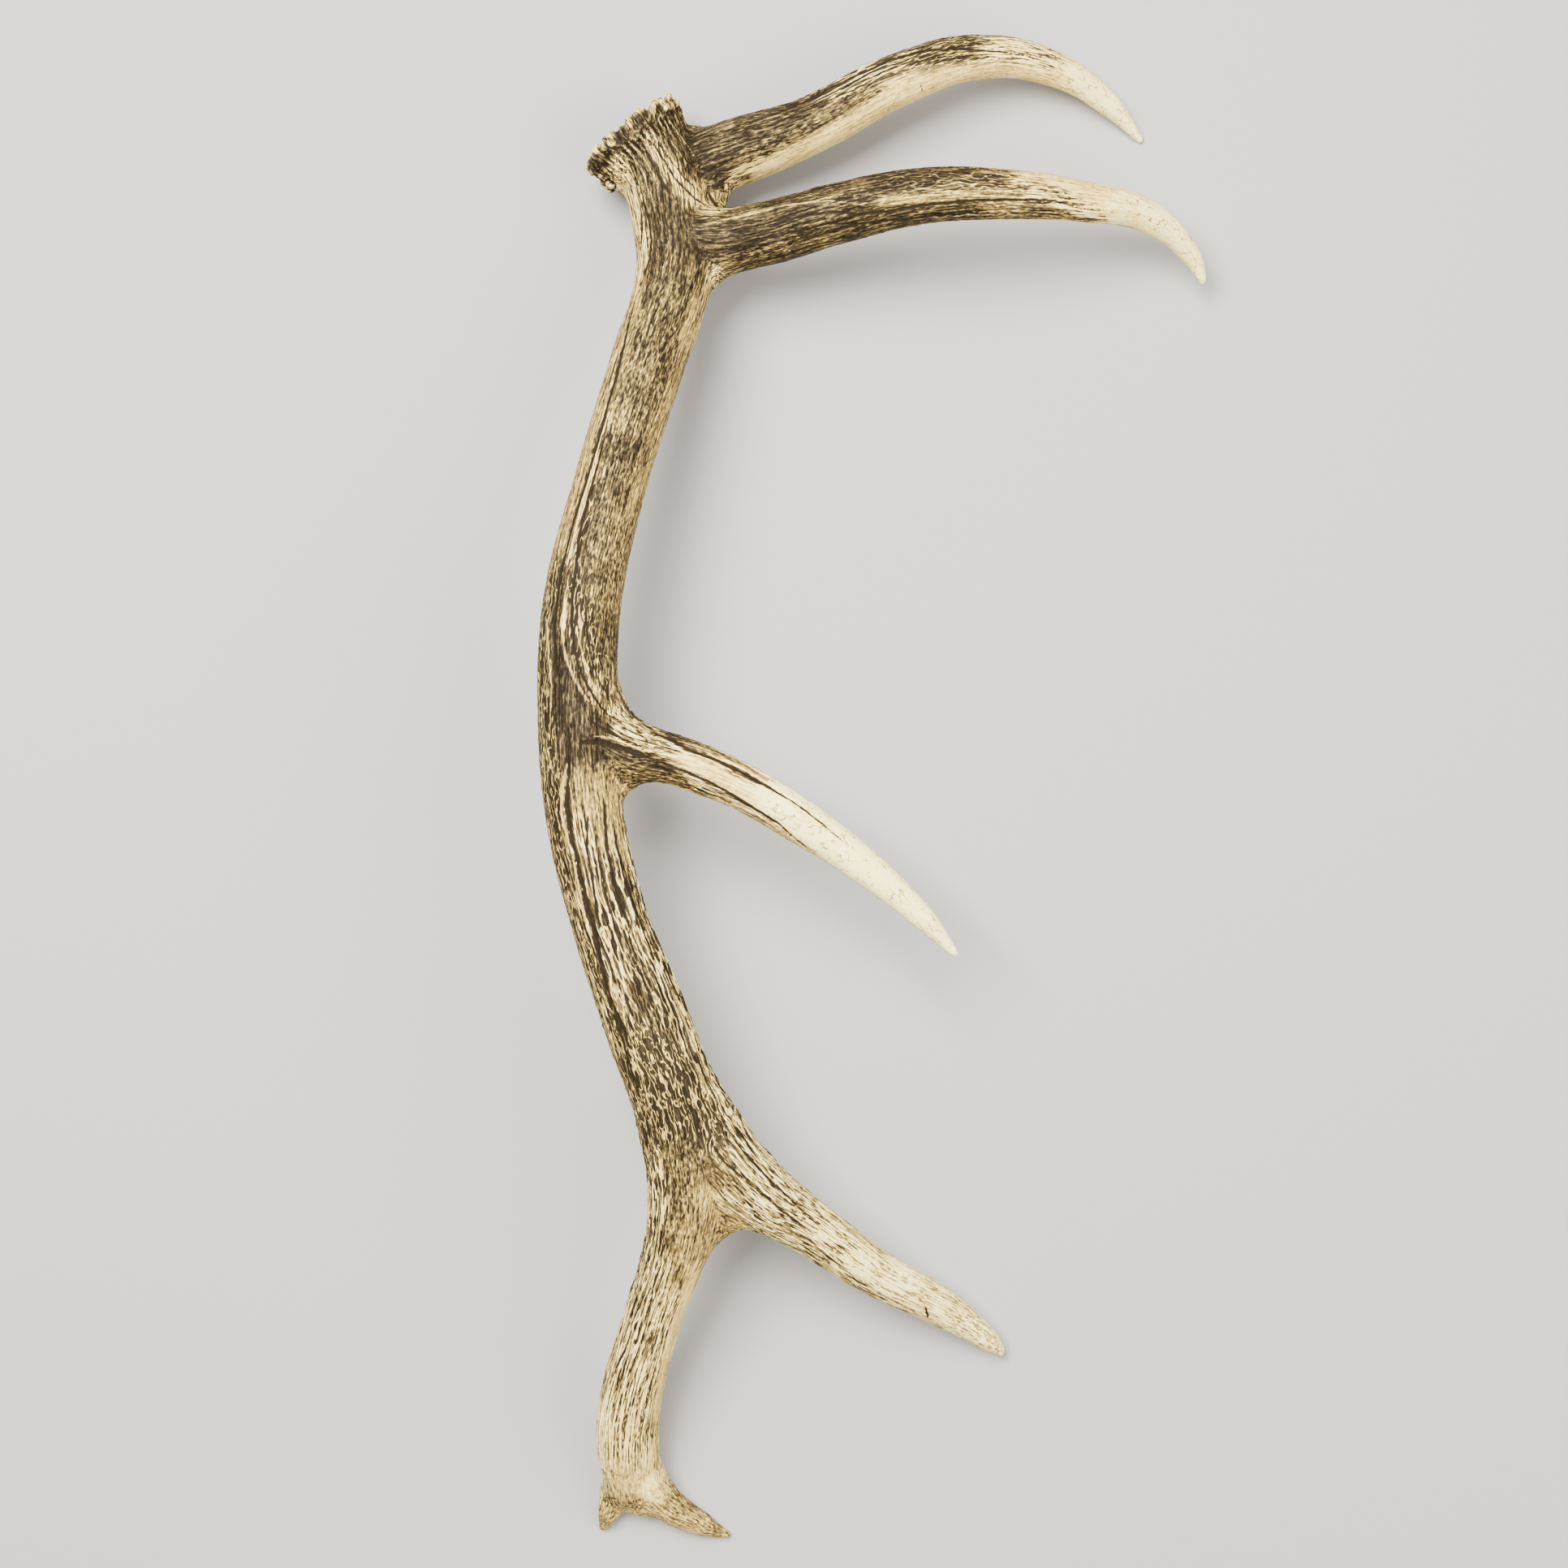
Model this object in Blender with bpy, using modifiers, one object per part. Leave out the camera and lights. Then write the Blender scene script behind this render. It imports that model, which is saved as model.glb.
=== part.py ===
"""A shed left antler of a large red deer, lying on its inner side.

The beam leaves the burr, rises in a shallow arch and comes down again at the crown.
It carries a brow tine and a bez tine close to the burr, a trez tine half way along,
and a royal tine below the two short points of the crown.

Frame: metres, +Z up, +Y along the beam towards the burr, +X towards the tips of the
tines. The origin is at the middle of the bounding box, on the surface that the antler
lies on. It touches that surface with the burr's rim, the brow tip and the crown's points.
"""

import math
import random

import bmesh
import bpy
from mathutils import Matrix, Vector

MM = 0.001

# ---------------------------------------------------------------- driving dimensions, mm
# Each limb is a row of stations from root to tip: x, y, height of the centre, radius.
# The first station or two of a tine lie inside the limb that it grows from.

BEAM = (
    (-147, 405, 38, 27.5),
    (-136, 386, 43, 25.0),
    (-127, 346, 54, 23.0),
    (-125, 315, 63, 23.5),
    (-140, 261, 79, 22.6),
    (-162, 185, 96, 21.8),
    (-178, 111, 108, 23.5),
    (-180, 47, 111, 24.2),
    (-176, -12, 111, 23.4),
    (-163, -71, 109, 22.6),
    (-139, -138, 106, 25.6),
    (-118, -205, 99, 25.8),
    (-119, -260, 88, 21.0),
    (-137, -318, 67, 17.6),
    (-153, -379, 42, 19.4),
    (-155, -410, 29, 19.8),
    (-154, -434, 20, 15.0),
)
BROW_TINE = (
    (-134, 372, 39, 17.0),
    (-111, 388, 36, 21.0),
    (-87, 397, 38, 21.2),
    (-40, 413, 44, 17.4),
    (12, 440, 45, 16.2),
    (61, 456, 39, 13.9),
    (111, 452, 26, 11.0),
    (148, 432, 12, 7.4),
    (168, 413, 2.4, 2.8),
)
BEZ_TINE = (
    (-130, 362, 52, 18.0),
    (-118, 342, 56, 20.5),
    (-98, 338, 58, 21.0),
    (-75, 341, 61, 19.6),
    (-26, 352, 73, 18.4),
    (23, 360, 86, 16.9),
    (72, 362, 84, 15.4),
    (122, 361, 68, 12.7),
    (170, 354, 47, 10.0),
    (197, 333, 31, 6.2),
    (204, 320, 26, 3.0),
)
TREZ_TINE = (
    (-171, 60, 108, 18.5),
    (-165, 37, 110, 20.5),
    (-146, 25, 111, 19.0),
    (-128, 21, 112, 15.6),
    (-89, 7, 111, 14.2),
    (-49, -16, 108, 13.6),
    (-8, -45, 102, 10.8),
    (26, -75, 95, 7.6),
    (45, -96, 90, 3.0),
)
ROYAL_TINE = (
    (-122, -170, 102, 21.0),
    (-106, -203, 98, 24.5),
    (-80, -235, 91, 22.8),
    (-41, -264, 76, 16.8),
    (-2, -294, 55, 14.4),
    (40, -320, 31, 12.6),
    (72, -345, 14, 7.2),
    (79, -352, 9, 3.6),
)
CROWN_FRONT_POINT = (
    (-154, -400, 34, 15.0),
    (-145, -430, 21, 15.0),
    (-130, -448, 13, 11.0),
    (-110, -461, 7.8, 7.6),
    (-94, -469, 3.5, 3.0),
)
CROWN_REAR_POINT = (
    (-157, -400, 32, 15.0),
    (-161, -434, 16, 12.5),
    (-168, -454, 9, 7.2),
    (-172, -464, 3.5, 3.2),
)

# The webs that fill the forks: x, y, height, radius.
WEBS = (
    (-113, 402, 38, 12.0),
    (-101, 367, 44, 11.0),
    (-103, 317, 58, 13.0),
    (-154, 10, 109, 12.0),
    (-94, -253, 87, 15.0),
    (-147, -446, 14, 10.5),
)

# The limbs carry long main ridges and shallow swells between them: how many go round a
# limb, and how high they stand as a share of its radius.
RIDGES = 11
RIDGE_HEIGHT = 0.05
SWELLS = 5
SWELL_HEIGHT = 0.025
OUTLINE_POINTS = 88
CURVE_STEPS = 8

# The burr is a ring of knobs on a flared disc, with the convex seal that sat on the skull.
BURR_CENTRE = (-151, 407, 38)
BURR_AXIS = (-0.60, 0.80, 0.0)
BURR_RADIUS = 34.0
BURR_THICKNESS = 9.0
FLARE_LENGTH = 24.0
KNOBS = 23
KNOB_RADIUS = (3.6, 5.6)
KNOB_REACH = 33.6
KNOB_SET_BACK = 0.35
KNOB_SPREAD = 0.25
KNOB_HEIGHTS = (-3.0, 1.2)
KNOB_STRETCH = (1.0, 1.3)
KNOB_SEED = 7
SEAL_RADIUS = 28.0
SEAL_HEIGHT = 6.8
SEAL_FLAT_HEIGHT = 5.6
SEAL_BLOCK = 10.0
ROUND_SEGMENTS = 48

# The form is fused on a grid, softened all over and more at the forks, and then
# thinned to large faces. A fork is a centre and how far its softening reaches.
GRID = 2.2
SOFTENING = 0.5
SOFTENING_ROUNDS = 2
FORK_SOFTENING_ROUNDS = 26
FORKS = (
    (-96, 372, 40, 34),
    (-97, 316, 60, 42),
    (-148, 2, 111, 40),
    (-150, 52, 111, 32),
    (-84, -262, 84, 48),
    (-148, -446, 14, 20),
)
FACES = 7900

# The branching piece is divided just past its main forks by gaps this wide: a point on the
# limb, the direction along it, and the radius of the gap, which must not reach another limb.
GAP = 0.3
GAPS = (
    ((-136, 280, 74), (0.27, 0.94, -0.25), 42),
    ((-84, 397, 38), (0.93, 0.35, 0.10), 27),
    ((-68, 343, 62), (0.96, 0.16, 0.22), 30),
    ((-180, 68, 110), (0.03, 1.0, -0.03), 42),
    ((-124, 19, 112), (0.96, -0.28, 0.0), 26),
    ((-58, -250, 84), (0.78, -0.52, -0.34), 30),
    ((-129, -284, 80), (0.25, 0.92, 0.32), 36),
)

BROWN_ANTLER = (0.30, 0.22, 0.13)
CREAM_ANTLER = (0.62, 0.52, 0.36)
WHITE_ANTLER = (0.75, 0.69, 0.56)
ROUGHNESS = 0.6
SHARP_EDGE = 40

# Each piece: a point in its middle, and its colour.
PIECES = {
    "beam_base": ((-127, 345, 56), BROWN_ANTLER),
    "brow_tine": ((12, 440, 45), CREAM_ANTLER),
    "bez_tine": ((23, 360, 86), CREAM_ANTLER),
    "lower_beam": ((-162, 185, 96), BROWN_ANTLER),
    "trez_tine": ((-49, -16, 108), WHITE_ANTLER),
    "middle_beam": ((-140, -120, 106), BROWN_ANTLER),
    "royal_tine": ((-2, -294, 55), WHITE_ANTLER),
    "crown": ((-146, -379, 42), CREAM_ANTLER),
}


def clear_scene():
    """Remove every object that the scene starts with."""
    for thing in list(bpy.data.objects):
        bpy.data.objects.remove(thing, do_unlink=True)


def new_collection(name):
    """A collection in the scene."""
    collection = bpy.data.collections.new(name)
    bpy.context.scene.collection.children.link(collection)
    return collection


def place(point):
    """A point or station in mm as a place in metres."""
    return Vector(point[:3]) * MM


def facing(centre, axis):
    """The matrix that stands at a centre with its own Z along an axis."""
    turn = Vector(axis).to_track_quat("Z", "Y").to_matrix().to_4x4()
    return Matrix.Translation(centre) @ turn


def mesh_from(shape):
    """A mesh of a bmesh, which is then freed."""
    mesh = bpy.data.meshes.new("form")
    shape.to_mesh(mesh)
    shape.free()
    return mesh


def joined(meshes):
    """One mesh of several."""
    shape = bmesh.new()
    for mesh in meshes:
        shape.from_mesh(mesh)
        bpy.data.meshes.remove(mesh)
    return mesh_from(shape)


def tool_object(data, tools):
    """An object that helps to make the model and is no part of it."""
    thing = bpy.data.objects.new("tool", data)
    thing.hide_render = True
    thing.display_type = "WIRE"
    tools.objects.link(thing)
    return thing


def finished_mesh(thing):
    """The mesh of an object with its modifiers, or of a curve's surface; the object goes."""
    bpy.context.view_layer.update()
    depsgraph = bpy.context.evaluated_depsgraph_get()
    mesh = bpy.data.meshes.new_from_object(thing.evaluated_get(depsgraph), depsgraph=depsgraph)
    mesh.transform(thing.matrix_world)
    bpy.data.objects.remove(thing, do_unlink=True)
    return mesh


def add_modifier(thing, kind, **settings):
    """Put a modifier on an object."""
    modifier = thing.modifiers.new(kind.title(), kind)
    for name, value in settings.items():
        setattr(modifier, name, value)


def ridge_outline(tools):
    """The limbs' section, of radius 1: a round with the main ridges and swells on it."""
    curve = bpy.data.curves.new("ridge_outline", "CURVE")
    curve.dimensions = "2D"
    line = curve.splines.new("POLY")
    line.points.add(OUTLINE_POINTS - 1)
    for number, point in enumerate(line.points):
        angle = math.tau * number / OUTLINE_POINTS
        radius = 1 + RIDGE_HEIGHT * math.cos(RIDGES * angle)
        radius += SWELL_HEIGHT * math.cos(SWELLS * angle)
        point.co = (radius * math.cos(angle), radius * math.sin(angle), 0, 1)
    line.use_cyclic_u = True
    return tool_object(curve, tools)


def limb(stations, outline, tools):
    """A tapering limb: the ridged section swept along a smooth curve through its stations."""
    curve = bpy.data.curves.new("limb", "CURVE")
    curve.dimensions = "3D"
    curve.resolution_u = CURVE_STEPS
    curve.bevel_mode = "OBJECT"
    curve.bevel_object = outline
    curve.use_fill_caps = True
    spline = curve.splines.new("BEZIER")
    spline.bezier_points.add(len(stations) - 1)
    for point, station in zip(spline.bezier_points, stations):
        point.co = place(station)
        point.radius = station[3] * MM
        point.handle_left_type = "AUTO"
        point.handle_right_type = "AUTO"
    mesh = finished_mesh(tool_object(curve, tools))
    shape = bmesh.new()
    shape.from_mesh(mesh)
    bmesh.ops.remove_doubles(shape, verts=shape.verts, dist=0.01 * MM)
    bmesh.ops.recalc_face_normals(shape, faces=shape.faces)
    bpy.data.meshes.remove(mesh)
    return mesh_from(shape)


def ball(station):
    """A round lump, such as the end of a tine, centred on a station."""
    shape = bmesh.new()
    bmesh.ops.create_icosphere(
        shape, subdivisions=3, radius=station[3] * MM, matrix=Matrix.Translation(place(station)))
    return mesh_from(shape)


def lens(shape, radius, height, frame):
    """A ball flattened along the frame's Z, such as the burr's disc or the seal's dome."""
    flat = Matrix.Diagonal((1, 1, height / radius, 1))
    bmesh.ops.create_uvsphere(
        shape, u_segments=ROUND_SEGMENTS, v_segments=ROUND_SEGMENTS // 3, radius=radius * MM,
        matrix=frame @ flat)


def burr():
    """The burr: the beam's flare, the disc, its ring of knobs and the convex seal."""
    frame = facing(place(BURR_CENTRE), BURR_AXIS)
    shape = bmesh.new()
    bmesh.ops.create_cone(
        shape, cap_ends=True, segments=ROUND_SEGMENTS, depth=FLARE_LENGTH * MM,
        radius1=BEAM[0][3] * MM, radius2=BURR_RADIUS * MM,
        matrix=frame @ Matrix.Translation((0, 0, -FLARE_LENGTH / 2 * MM)))
    lens(shape, BURR_RADIUS, BURR_THICKNESS / 2, frame)
    lens(shape, SEAL_RADIUS, SEAL_HEIGHT, frame)
    chance = random.Random(KNOB_SEED)
    for number in range(KNOBS):
        angle = math.tau * (number + chance.uniform(-KNOB_SPREAD, KNOB_SPREAD)) / KNOBS
        size = chance.uniform(*KNOB_RADIUS)
        reach = KNOB_REACH - (size - KNOB_RADIUS[0]) * KNOB_SET_BACK
        height = chance.uniform(*KNOB_HEIGHTS)
        centre = Vector((reach * math.cos(angle), reach * math.sin(angle), height)) * MM
        stretch = Matrix.Diagonal((1, 1, chance.uniform(*KNOB_STRETCH), 1))
        bmesh.ops.create_icosphere(
            shape, subdivisions=2, radius=size * MM,
            matrix=frame @ Matrix.Translation(centre) @ stretch)
    return mesh_from(shape)


def fused(meshes, tools):
    """The meshes as one closed skin."""
    form = tool_object(joined(meshes), tools)
    add_modifier(form, "REMESH", mode="VOXEL", voxel_size=GRID * MM)
    return finished_mesh(form)


def fork_share(corner):
    """How much of the forks' softening a corner gets, 1 at a fork's centre."""
    share = 0.0
    for fork in FORKS:
        distance = (corner - place(fork)).length / (fork[3] * MM)
        share = max(share, 1 - distance * distance)
    return share


def softened(mesh, tools):
    """The skin made smooth, with round hollows in its forks."""
    form = tool_object(mesh, tools)
    forks = form.vertex_groups.new(name="forks")
    for vertex in mesh.vertices:
        forks.add([vertex.index], fork_share(vertex.co), "REPLACE")
    add_modifier(form, "SMOOTH", factor=SOFTENING, iterations=FORK_SOFTENING_ROUNDS,
                 vertex_group=forks.name)
    add_modifier(form, "SMOOTH", factor=SOFTENING, iterations=SOFTENING_ROUNDS)
    return finished_mesh(form)


def thinned(mesh, tools):
    """The skin with fewer and larger faces."""
    full = sum(len(face.vertices) - 2 for face in mesh.polygons)
    form = tool_object(mesh, tools)
    add_modifier(form, "TRIANGULATE")
    add_modifier(form, "DECIMATE", ratio=FACES / full)
    return finished_mesh(form)


def disc(centre, axis, radius, depth):
    """A flat round cutter, its middle at the centre and its faces across the axis."""
    shape = bmesh.new()
    bmesh.ops.create_cone(
        shape, cap_ends=True, segments=ROUND_SEGMENTS, depth=depth * MM, radius1=radius * MM,
        radius2=radius * MM, matrix=facing(centre, axis))
    return mesh_from(shape)


def divided(mesh, tools):
    """The skin parted at the gaps, and the middle of the seal cut flat."""
    cutters = [disc(place(point), axis, radius, GAP) for point, axis, radius in GAPS]
    over_seal = Vector(BURR_AXIS) * (SEAL_FLAT_HEIGHT + SEAL_BLOCK / 2) * MM
    cutters.append(disc(place(BURR_CENTRE) + over_seal, BURR_AXIS, SEAL_RADIUS, SEAL_BLOCK))
    cutter = tool_object(joined(cutters), tools)
    form = tool_object(mesh, tools)
    add_modifier(form, "BOOLEAN", operation="DIFFERENCE", solver="EXACT", object=cutter)
    result = finished_mesh(form)
    bpy.data.objects.remove(cutter, do_unlink=True)
    return result


def island(first):
    """The indices of all faces that hang together with the first."""
    found = {first.index}
    waiting = [first]
    while waiting:
        face = waiting.pop()
        neighbours = (other for edge in face.edges for other in edge.link_faces)
        for other in neighbours:
            if other.index not in found:
                found.add(other.index)
                waiting.append(other)
    return found


def separate_bodies(mesh):
    """The mesh's separate bodies, each as a mesh of its own."""
    shape = bmesh.new()
    shape.from_mesh(mesh)
    bmesh.ops.triangulate(shape, faces=shape.faces)
    shape.faces.ensure_lookup_table()
    done = set()
    bodies = []
    for face in shape.faces:
        if face.index in done:
            continue
        members = island(face)
        done |= members
        body = shape.copy()
        others = [other for other in body.faces if other.index not in members]
        bmesh.ops.delete(body, geom=others, context="FACES")
        bodies.append(mesh_from(body))
    shape.free()
    return bodies


def piece_name(mesh):
    """The name of the piece whose middle is nearest to the mesh's."""
    middle = sum((vertex.co for vertex in mesh.vertices), Vector()) / len(mesh.vertices)
    return min(PIECES, key=lambda name: (place(PIECES[name][0]) - middle).length)


def antler_material(name, colour):
    """Matt bone in one of the antler's colours."""
    material = bpy.data.materials.new(name)
    material.use_nodes = True
    shader = material.node_tree.nodes["Principled BSDF"]
    shader.inputs["Base Color"].default_value = (*colour, 1)
    shader.inputs["Roughness"].default_value = ROUGHNESS
    shader.inputs["Metallic"].default_value = 0
    material.diffuse_color = (*colour, 1)
    return material


def add_piece(mesh, antler):
    """A body as a named object of the model."""
    name = piece_name(mesh)
    mesh.name = name
    mesh.materials.append(antler_material(name, PIECES[name][1]))
    mesh.shade_smooth()
    mesh.set_sharp_from_angle(angle=math.radians(SHARP_EDGE))
    thing = bpy.data.objects.new(name, mesh)
    antler.objects.link(thing)
    return thing


def move_to_origin(things):
    """Stand the antler on z = 0 with the middle of its box over the origin."""
    corners = [vertex.co for thing in things for vertex in thing.data.vertices]
    low = [min(corner[axis] for corner in corners) for axis in range(3)]
    high = [max(corner[axis] for corner in corners) for axis in range(3)]
    shift = Vector((-(low[0] + high[0]) / 2, -(low[1] + high[1]) / 2, -low[2]))
    for thing in things:
        thing.data.transform(Matrix.Translation(shift))
    print("moved by, mm:", [round(value / MM, 3) for value in shift])


def main():
    """Fuse the limbs, the webs of the forks and the burr, then divide them in pieces."""
    clear_scene()
    antler = new_collection("deer_antler")
    tools = new_collection("antler_tools")
    outline = ridge_outline(tools)
    tines = (BROW_TINE, BEZ_TINE, TREZ_TINE, ROYAL_TINE, CROWN_FRONT_POINT, CROWN_REAR_POINT)
    meshes = [limb(stations, outline, tools) for stations in (BEAM, *tines)]
    meshes += [ball(stations[-1]) for stations in tines]
    meshes += [ball(web) for web in WEBS]
    meshes.append(burr())
    bpy.data.objects.remove(outline, do_unlink=True)
    skin = thinned(softened(fused(meshes, tools), tools), tools)
    things = [add_piece(body, antler) for body in separate_bodies(divided(skin, tools))]
    move_to_origin(things)


main()
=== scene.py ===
"""The looks of a shed deer antler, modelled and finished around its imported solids.

The antler is modelled as one skin, as it grew: limbs drawn out ring by ring, a burr of knobs
round the convex seal, and webs in the forks, all fused and smoothed. Long grooves, ridges and
pearls are then raised on the skin along the way its fibres run, and the skin is parted at the
same planes as the solids, so that each piece stands for its node.

Sizes in the tables are millimetres in the frame of the stations; meshes are in metres.
"""

import logging
import math
import random
from dataclasses import dataclass, field
from enum import Enum
from typing import NamedTuple, Sequence

import bpy
import numpy as np
from bpy.types import Material, Mesh, Node, NodeTree, Object, bpy_prop_collection
from mathutils import Euler, Matrix, Vector


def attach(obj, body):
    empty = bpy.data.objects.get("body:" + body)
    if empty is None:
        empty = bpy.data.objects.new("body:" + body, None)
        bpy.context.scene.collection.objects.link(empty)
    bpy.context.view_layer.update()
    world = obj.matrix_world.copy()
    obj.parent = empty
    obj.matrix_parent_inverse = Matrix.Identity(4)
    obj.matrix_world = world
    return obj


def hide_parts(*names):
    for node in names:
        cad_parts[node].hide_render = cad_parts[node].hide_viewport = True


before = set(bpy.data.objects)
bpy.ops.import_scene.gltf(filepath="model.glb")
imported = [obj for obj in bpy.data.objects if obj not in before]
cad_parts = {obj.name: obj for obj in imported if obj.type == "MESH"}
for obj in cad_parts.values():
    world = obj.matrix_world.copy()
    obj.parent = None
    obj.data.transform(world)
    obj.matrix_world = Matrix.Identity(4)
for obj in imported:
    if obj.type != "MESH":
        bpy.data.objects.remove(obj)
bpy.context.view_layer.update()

MM = 0.001
STATIONS_TO_FRAME = Vector((-0.598, 0.406, -0.167))
log = logging.getLogger("antler")

# ---- the photograph's view
PHOTO_WIDTH = 1932
PHOTO_CENTRE = (966.0, 966.0)
EYE = (-58.1, 5.9, 1800.0)
REFERENCE_HEIGHT = 50.0
MM_PER_PIXEL = 0.5

# A section of a limb, a web or a knob: the place of its middle and its radius, in mm.
Station = tuple[float, float, float, float]
Point = tuple[float, float, float]
Pair = tuple[float, float]
Array = np.ndarray


# ---- small helpers


def smooth_step(low: float, high: float, value: Array) -> Array:
    """Rise smoothly from 0 at low to 1 at high.

    Args:
        low: Where the rise starts.
        high: Where it ends; it may be below low, and then the step falls.
        value: The values to map.

    Returns:
        The mapped values, from 0 to 1.
    """
    share = np.clip((value - low) / (high - low), 0.0, 1.0)
    return share * share * (3.0 - 2.0 * share)


def unit(vectors: Array) -> Array:
    """Vectors scaled to length 1, row by row."""
    return vectors / np.maximum(np.linalg.norm(vectors, axis=-1, keepdims=True), 1e-9)


def start_fresh() -> None:
    """Deselect everything, so that the next operator acts on its own piece alone."""
    bpy.ops.object.select_all(action="DESELECT")


def only(piece: Object) -> None:
    """Select one piece alone and make it the active one."""
    start_fresh()
    piece.select_set(True)
    bpy.context.view_layer.objects.active = piece


def apply_modifier(piece: Object, kind: str, **settings: object) -> None:
    """Put a modifier on a piece and apply it.

    Args:
        piece: The mesh object.
        kind: The modifier's type.
        **settings: The modifier's own settings.
    """
    only(piece)
    modifier = piece.modifiers.new(kind.title(), kind)
    for name, value in settings.items():
        setattr(modifier, name, value)
    bpy.ops.object.modifier_apply(modifier=modifier.name)


def joined(pieces: Sequence[Object], name: str) -> Object:
    """Join objects into one.

    Args:
        pieces: The mesh objects; they end as one.
        name: The name of the result.

    Returns:
        The one object.
    """
    start_fresh()
    for piece in pieces:
        piece.select_set(True)
    bpy.context.view_layer.objects.active = pieces[0]
    bpy.ops.object.join()
    whole = bpy.context.object
    whole.name = name
    bpy.ops.object.transform_apply(location=True, rotation=True, scale=True)
    return whole


def in_frame(point: Sequence[float]) -> Vector:
    """A point of the stations' frame, in mm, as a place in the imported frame, in metres."""
    return (Vector(point[:3]) + STATIONS_TO_FRAME) * MM


def facing(axis: Sequence[float]) -> Euler:
    """The rotation that turns an object's own Z along an axis."""
    return Vector(axis).to_track_quat("Z", "Y").to_euler()


# ---- limbs


class CentreLine:
    """A limb's middle line, sampled closely, with a frame that runs along it untwisted."""

    HANDLE_SHARE = 1 / 2.5614
    SPACING = 6.0

    def __init__(self, stations: Sequence[Station]) -> None:
        """Draw a smooth curve through the stations.

        Args:
            stations: The limb's stations from root to tip.
        """
        rows = np.array(stations, float)
        rows[:, :3] += STATIONS_TO_FRAME
        places = [Vector(row) for row in rows[:, :3]]
        points, radii = [], []
        for number in range(len(places) - 1):
            start, end = places[number], places[number + 1]
            reach = (end - start).length * self.HANDLE_SHARE
            first = start + self._heading(places, number) * reach
            last = end - self._heading(places, number + 1) * reach
            steps = max(2, round((end - start).length / self.SPACING))
            for step in range(steps):
                share = step / steps
                points.append(self._bezier(start, first, last, end, share))
                radii.append(rows[number, 3] + (rows[number + 1, 3] - rows[number, 3]) * share)
        points.append(places[-1])
        radii.append(rows[-1, 3])
        self.points = np.array([tuple(point) for point in points])
        self.radii = np.array(radii)
        self.tangents = unit(np.gradient(self.points, axis=0))
        steps = np.linalg.norm(np.diff(self.points, axis=0), axis=1)
        self.arc = np.concatenate(([0.0], np.cumsum(steps)))
        self.sides = self._untwisted()
        self.ups = np.cross(self.tangents, self.sides)

    @staticmethod
    def _heading(places: Sequence[Vector], number: int) -> Vector:
        """The curve's direction at a station: even between its two neighbours' directions."""
        here = places[number]
        inward = here - places[max(number - 1, 0)]
        outward = places[min(number + 1, len(places) - 1)] - here
        return (inward.normalized() + outward.normalized()).normalized()

    @staticmethod
    def _bezier(start: Vector, first: Vector, last: Vector, end: Vector, share: float) -> Vector:
        """The point at a share of the way along a cubic curve."""
        rest = 1 - share
        return (start * rest ** 3 + first * 3 * rest ** 2 * share
                + last * 3 * rest * share ** 2 + end * share ** 3)

    def _untwisted(self) -> Array:
        """A side direction for each sample, carried along the line with no twist of its own."""
        side = unit(np.cross((0.0, 0.0, 1.0), self.tangents[0]))
        sides = []
        for tangent in self.tangents:
            side = unit(side - tangent * (side @ tangent))
            sides.append(side)
        return np.array(sides)


@dataclass
class Limb:
    """A tapering limb of the antler, drawn out ring by ring along its middle line."""

    name: str
    stations: Sequence[Station]
    sides: int = 28
    line: CentreLine = field(init=False)

    def __post_init__(self) -> None:
        """Work out the middle line."""
        self.line = CentreLine(self.stations)

    def build(self) -> list[Object]:
        """Model the limb: a disc drawn out along the line, with a round end at the tip.

        Returns:
            The limb and its end.
        """
        line = self.line
        start_fresh()
        bpy.ops.mesh.primitive_circle_add(
            vertices=self.sides, radius=line.radii[0] * MM, fill_type="NGON",
            location=Vector(line.points[0]) * MM, rotation=facing(line.tangents[0]))
        limb = bpy.context.object
        limb.name = self.name
        bpy.ops.object.transform_apply(location=True, rotation=True, scale=True)
        bpy.ops.object.mode_set(mode="EDIT")
        bpy.ops.mesh.select_all(action="SELECT")
        for number in range(1, len(line.points)):
            self._draw_out(number)
        bpy.ops.mesh.select_all(action="SELECT")
        bpy.ops.mesh.normals_make_consistent(inside=False)
        bpy.ops.object.mode_set(mode="OBJECT")
        start_fresh()
        bpy.ops.mesh.primitive_uv_sphere_add(
            segments=self.sides, ring_count=self.sides // 2, radius=line.radii[-1] * MM,
            location=Vector(line.points[-1]) * MM)
        return [limb, bpy.context.object]

    def _draw_out(self, number: int) -> None:
        """Extrude the end face to the next sample, turned and resized to it.

        Args:
            number: The sample that the face goes to.
        """
        line = self.line
        step = Vector(line.points[number] - line.points[number - 1]) * MM
        centre = Vector(line.points[number]) * MM
        before, after = Vector(line.tangents[number - 1]), Vector(line.tangents[number])
        turn = before.rotation_difference(after).to_euler("XYZ")
        growth = line.radii[number] / line.radii[number - 1]
        bpy.ops.mesh.extrude_region_move(TRANSFORM_OT_translate={"value": step})
        for axis, angle in zip("XYZ", turn):
            bpy.ops.transform.rotate(value=-angle, orient_axis=axis, center_override=centre)
        bpy.ops.transform.resize(value=(growth, growth, growth), center_override=centre)


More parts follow.
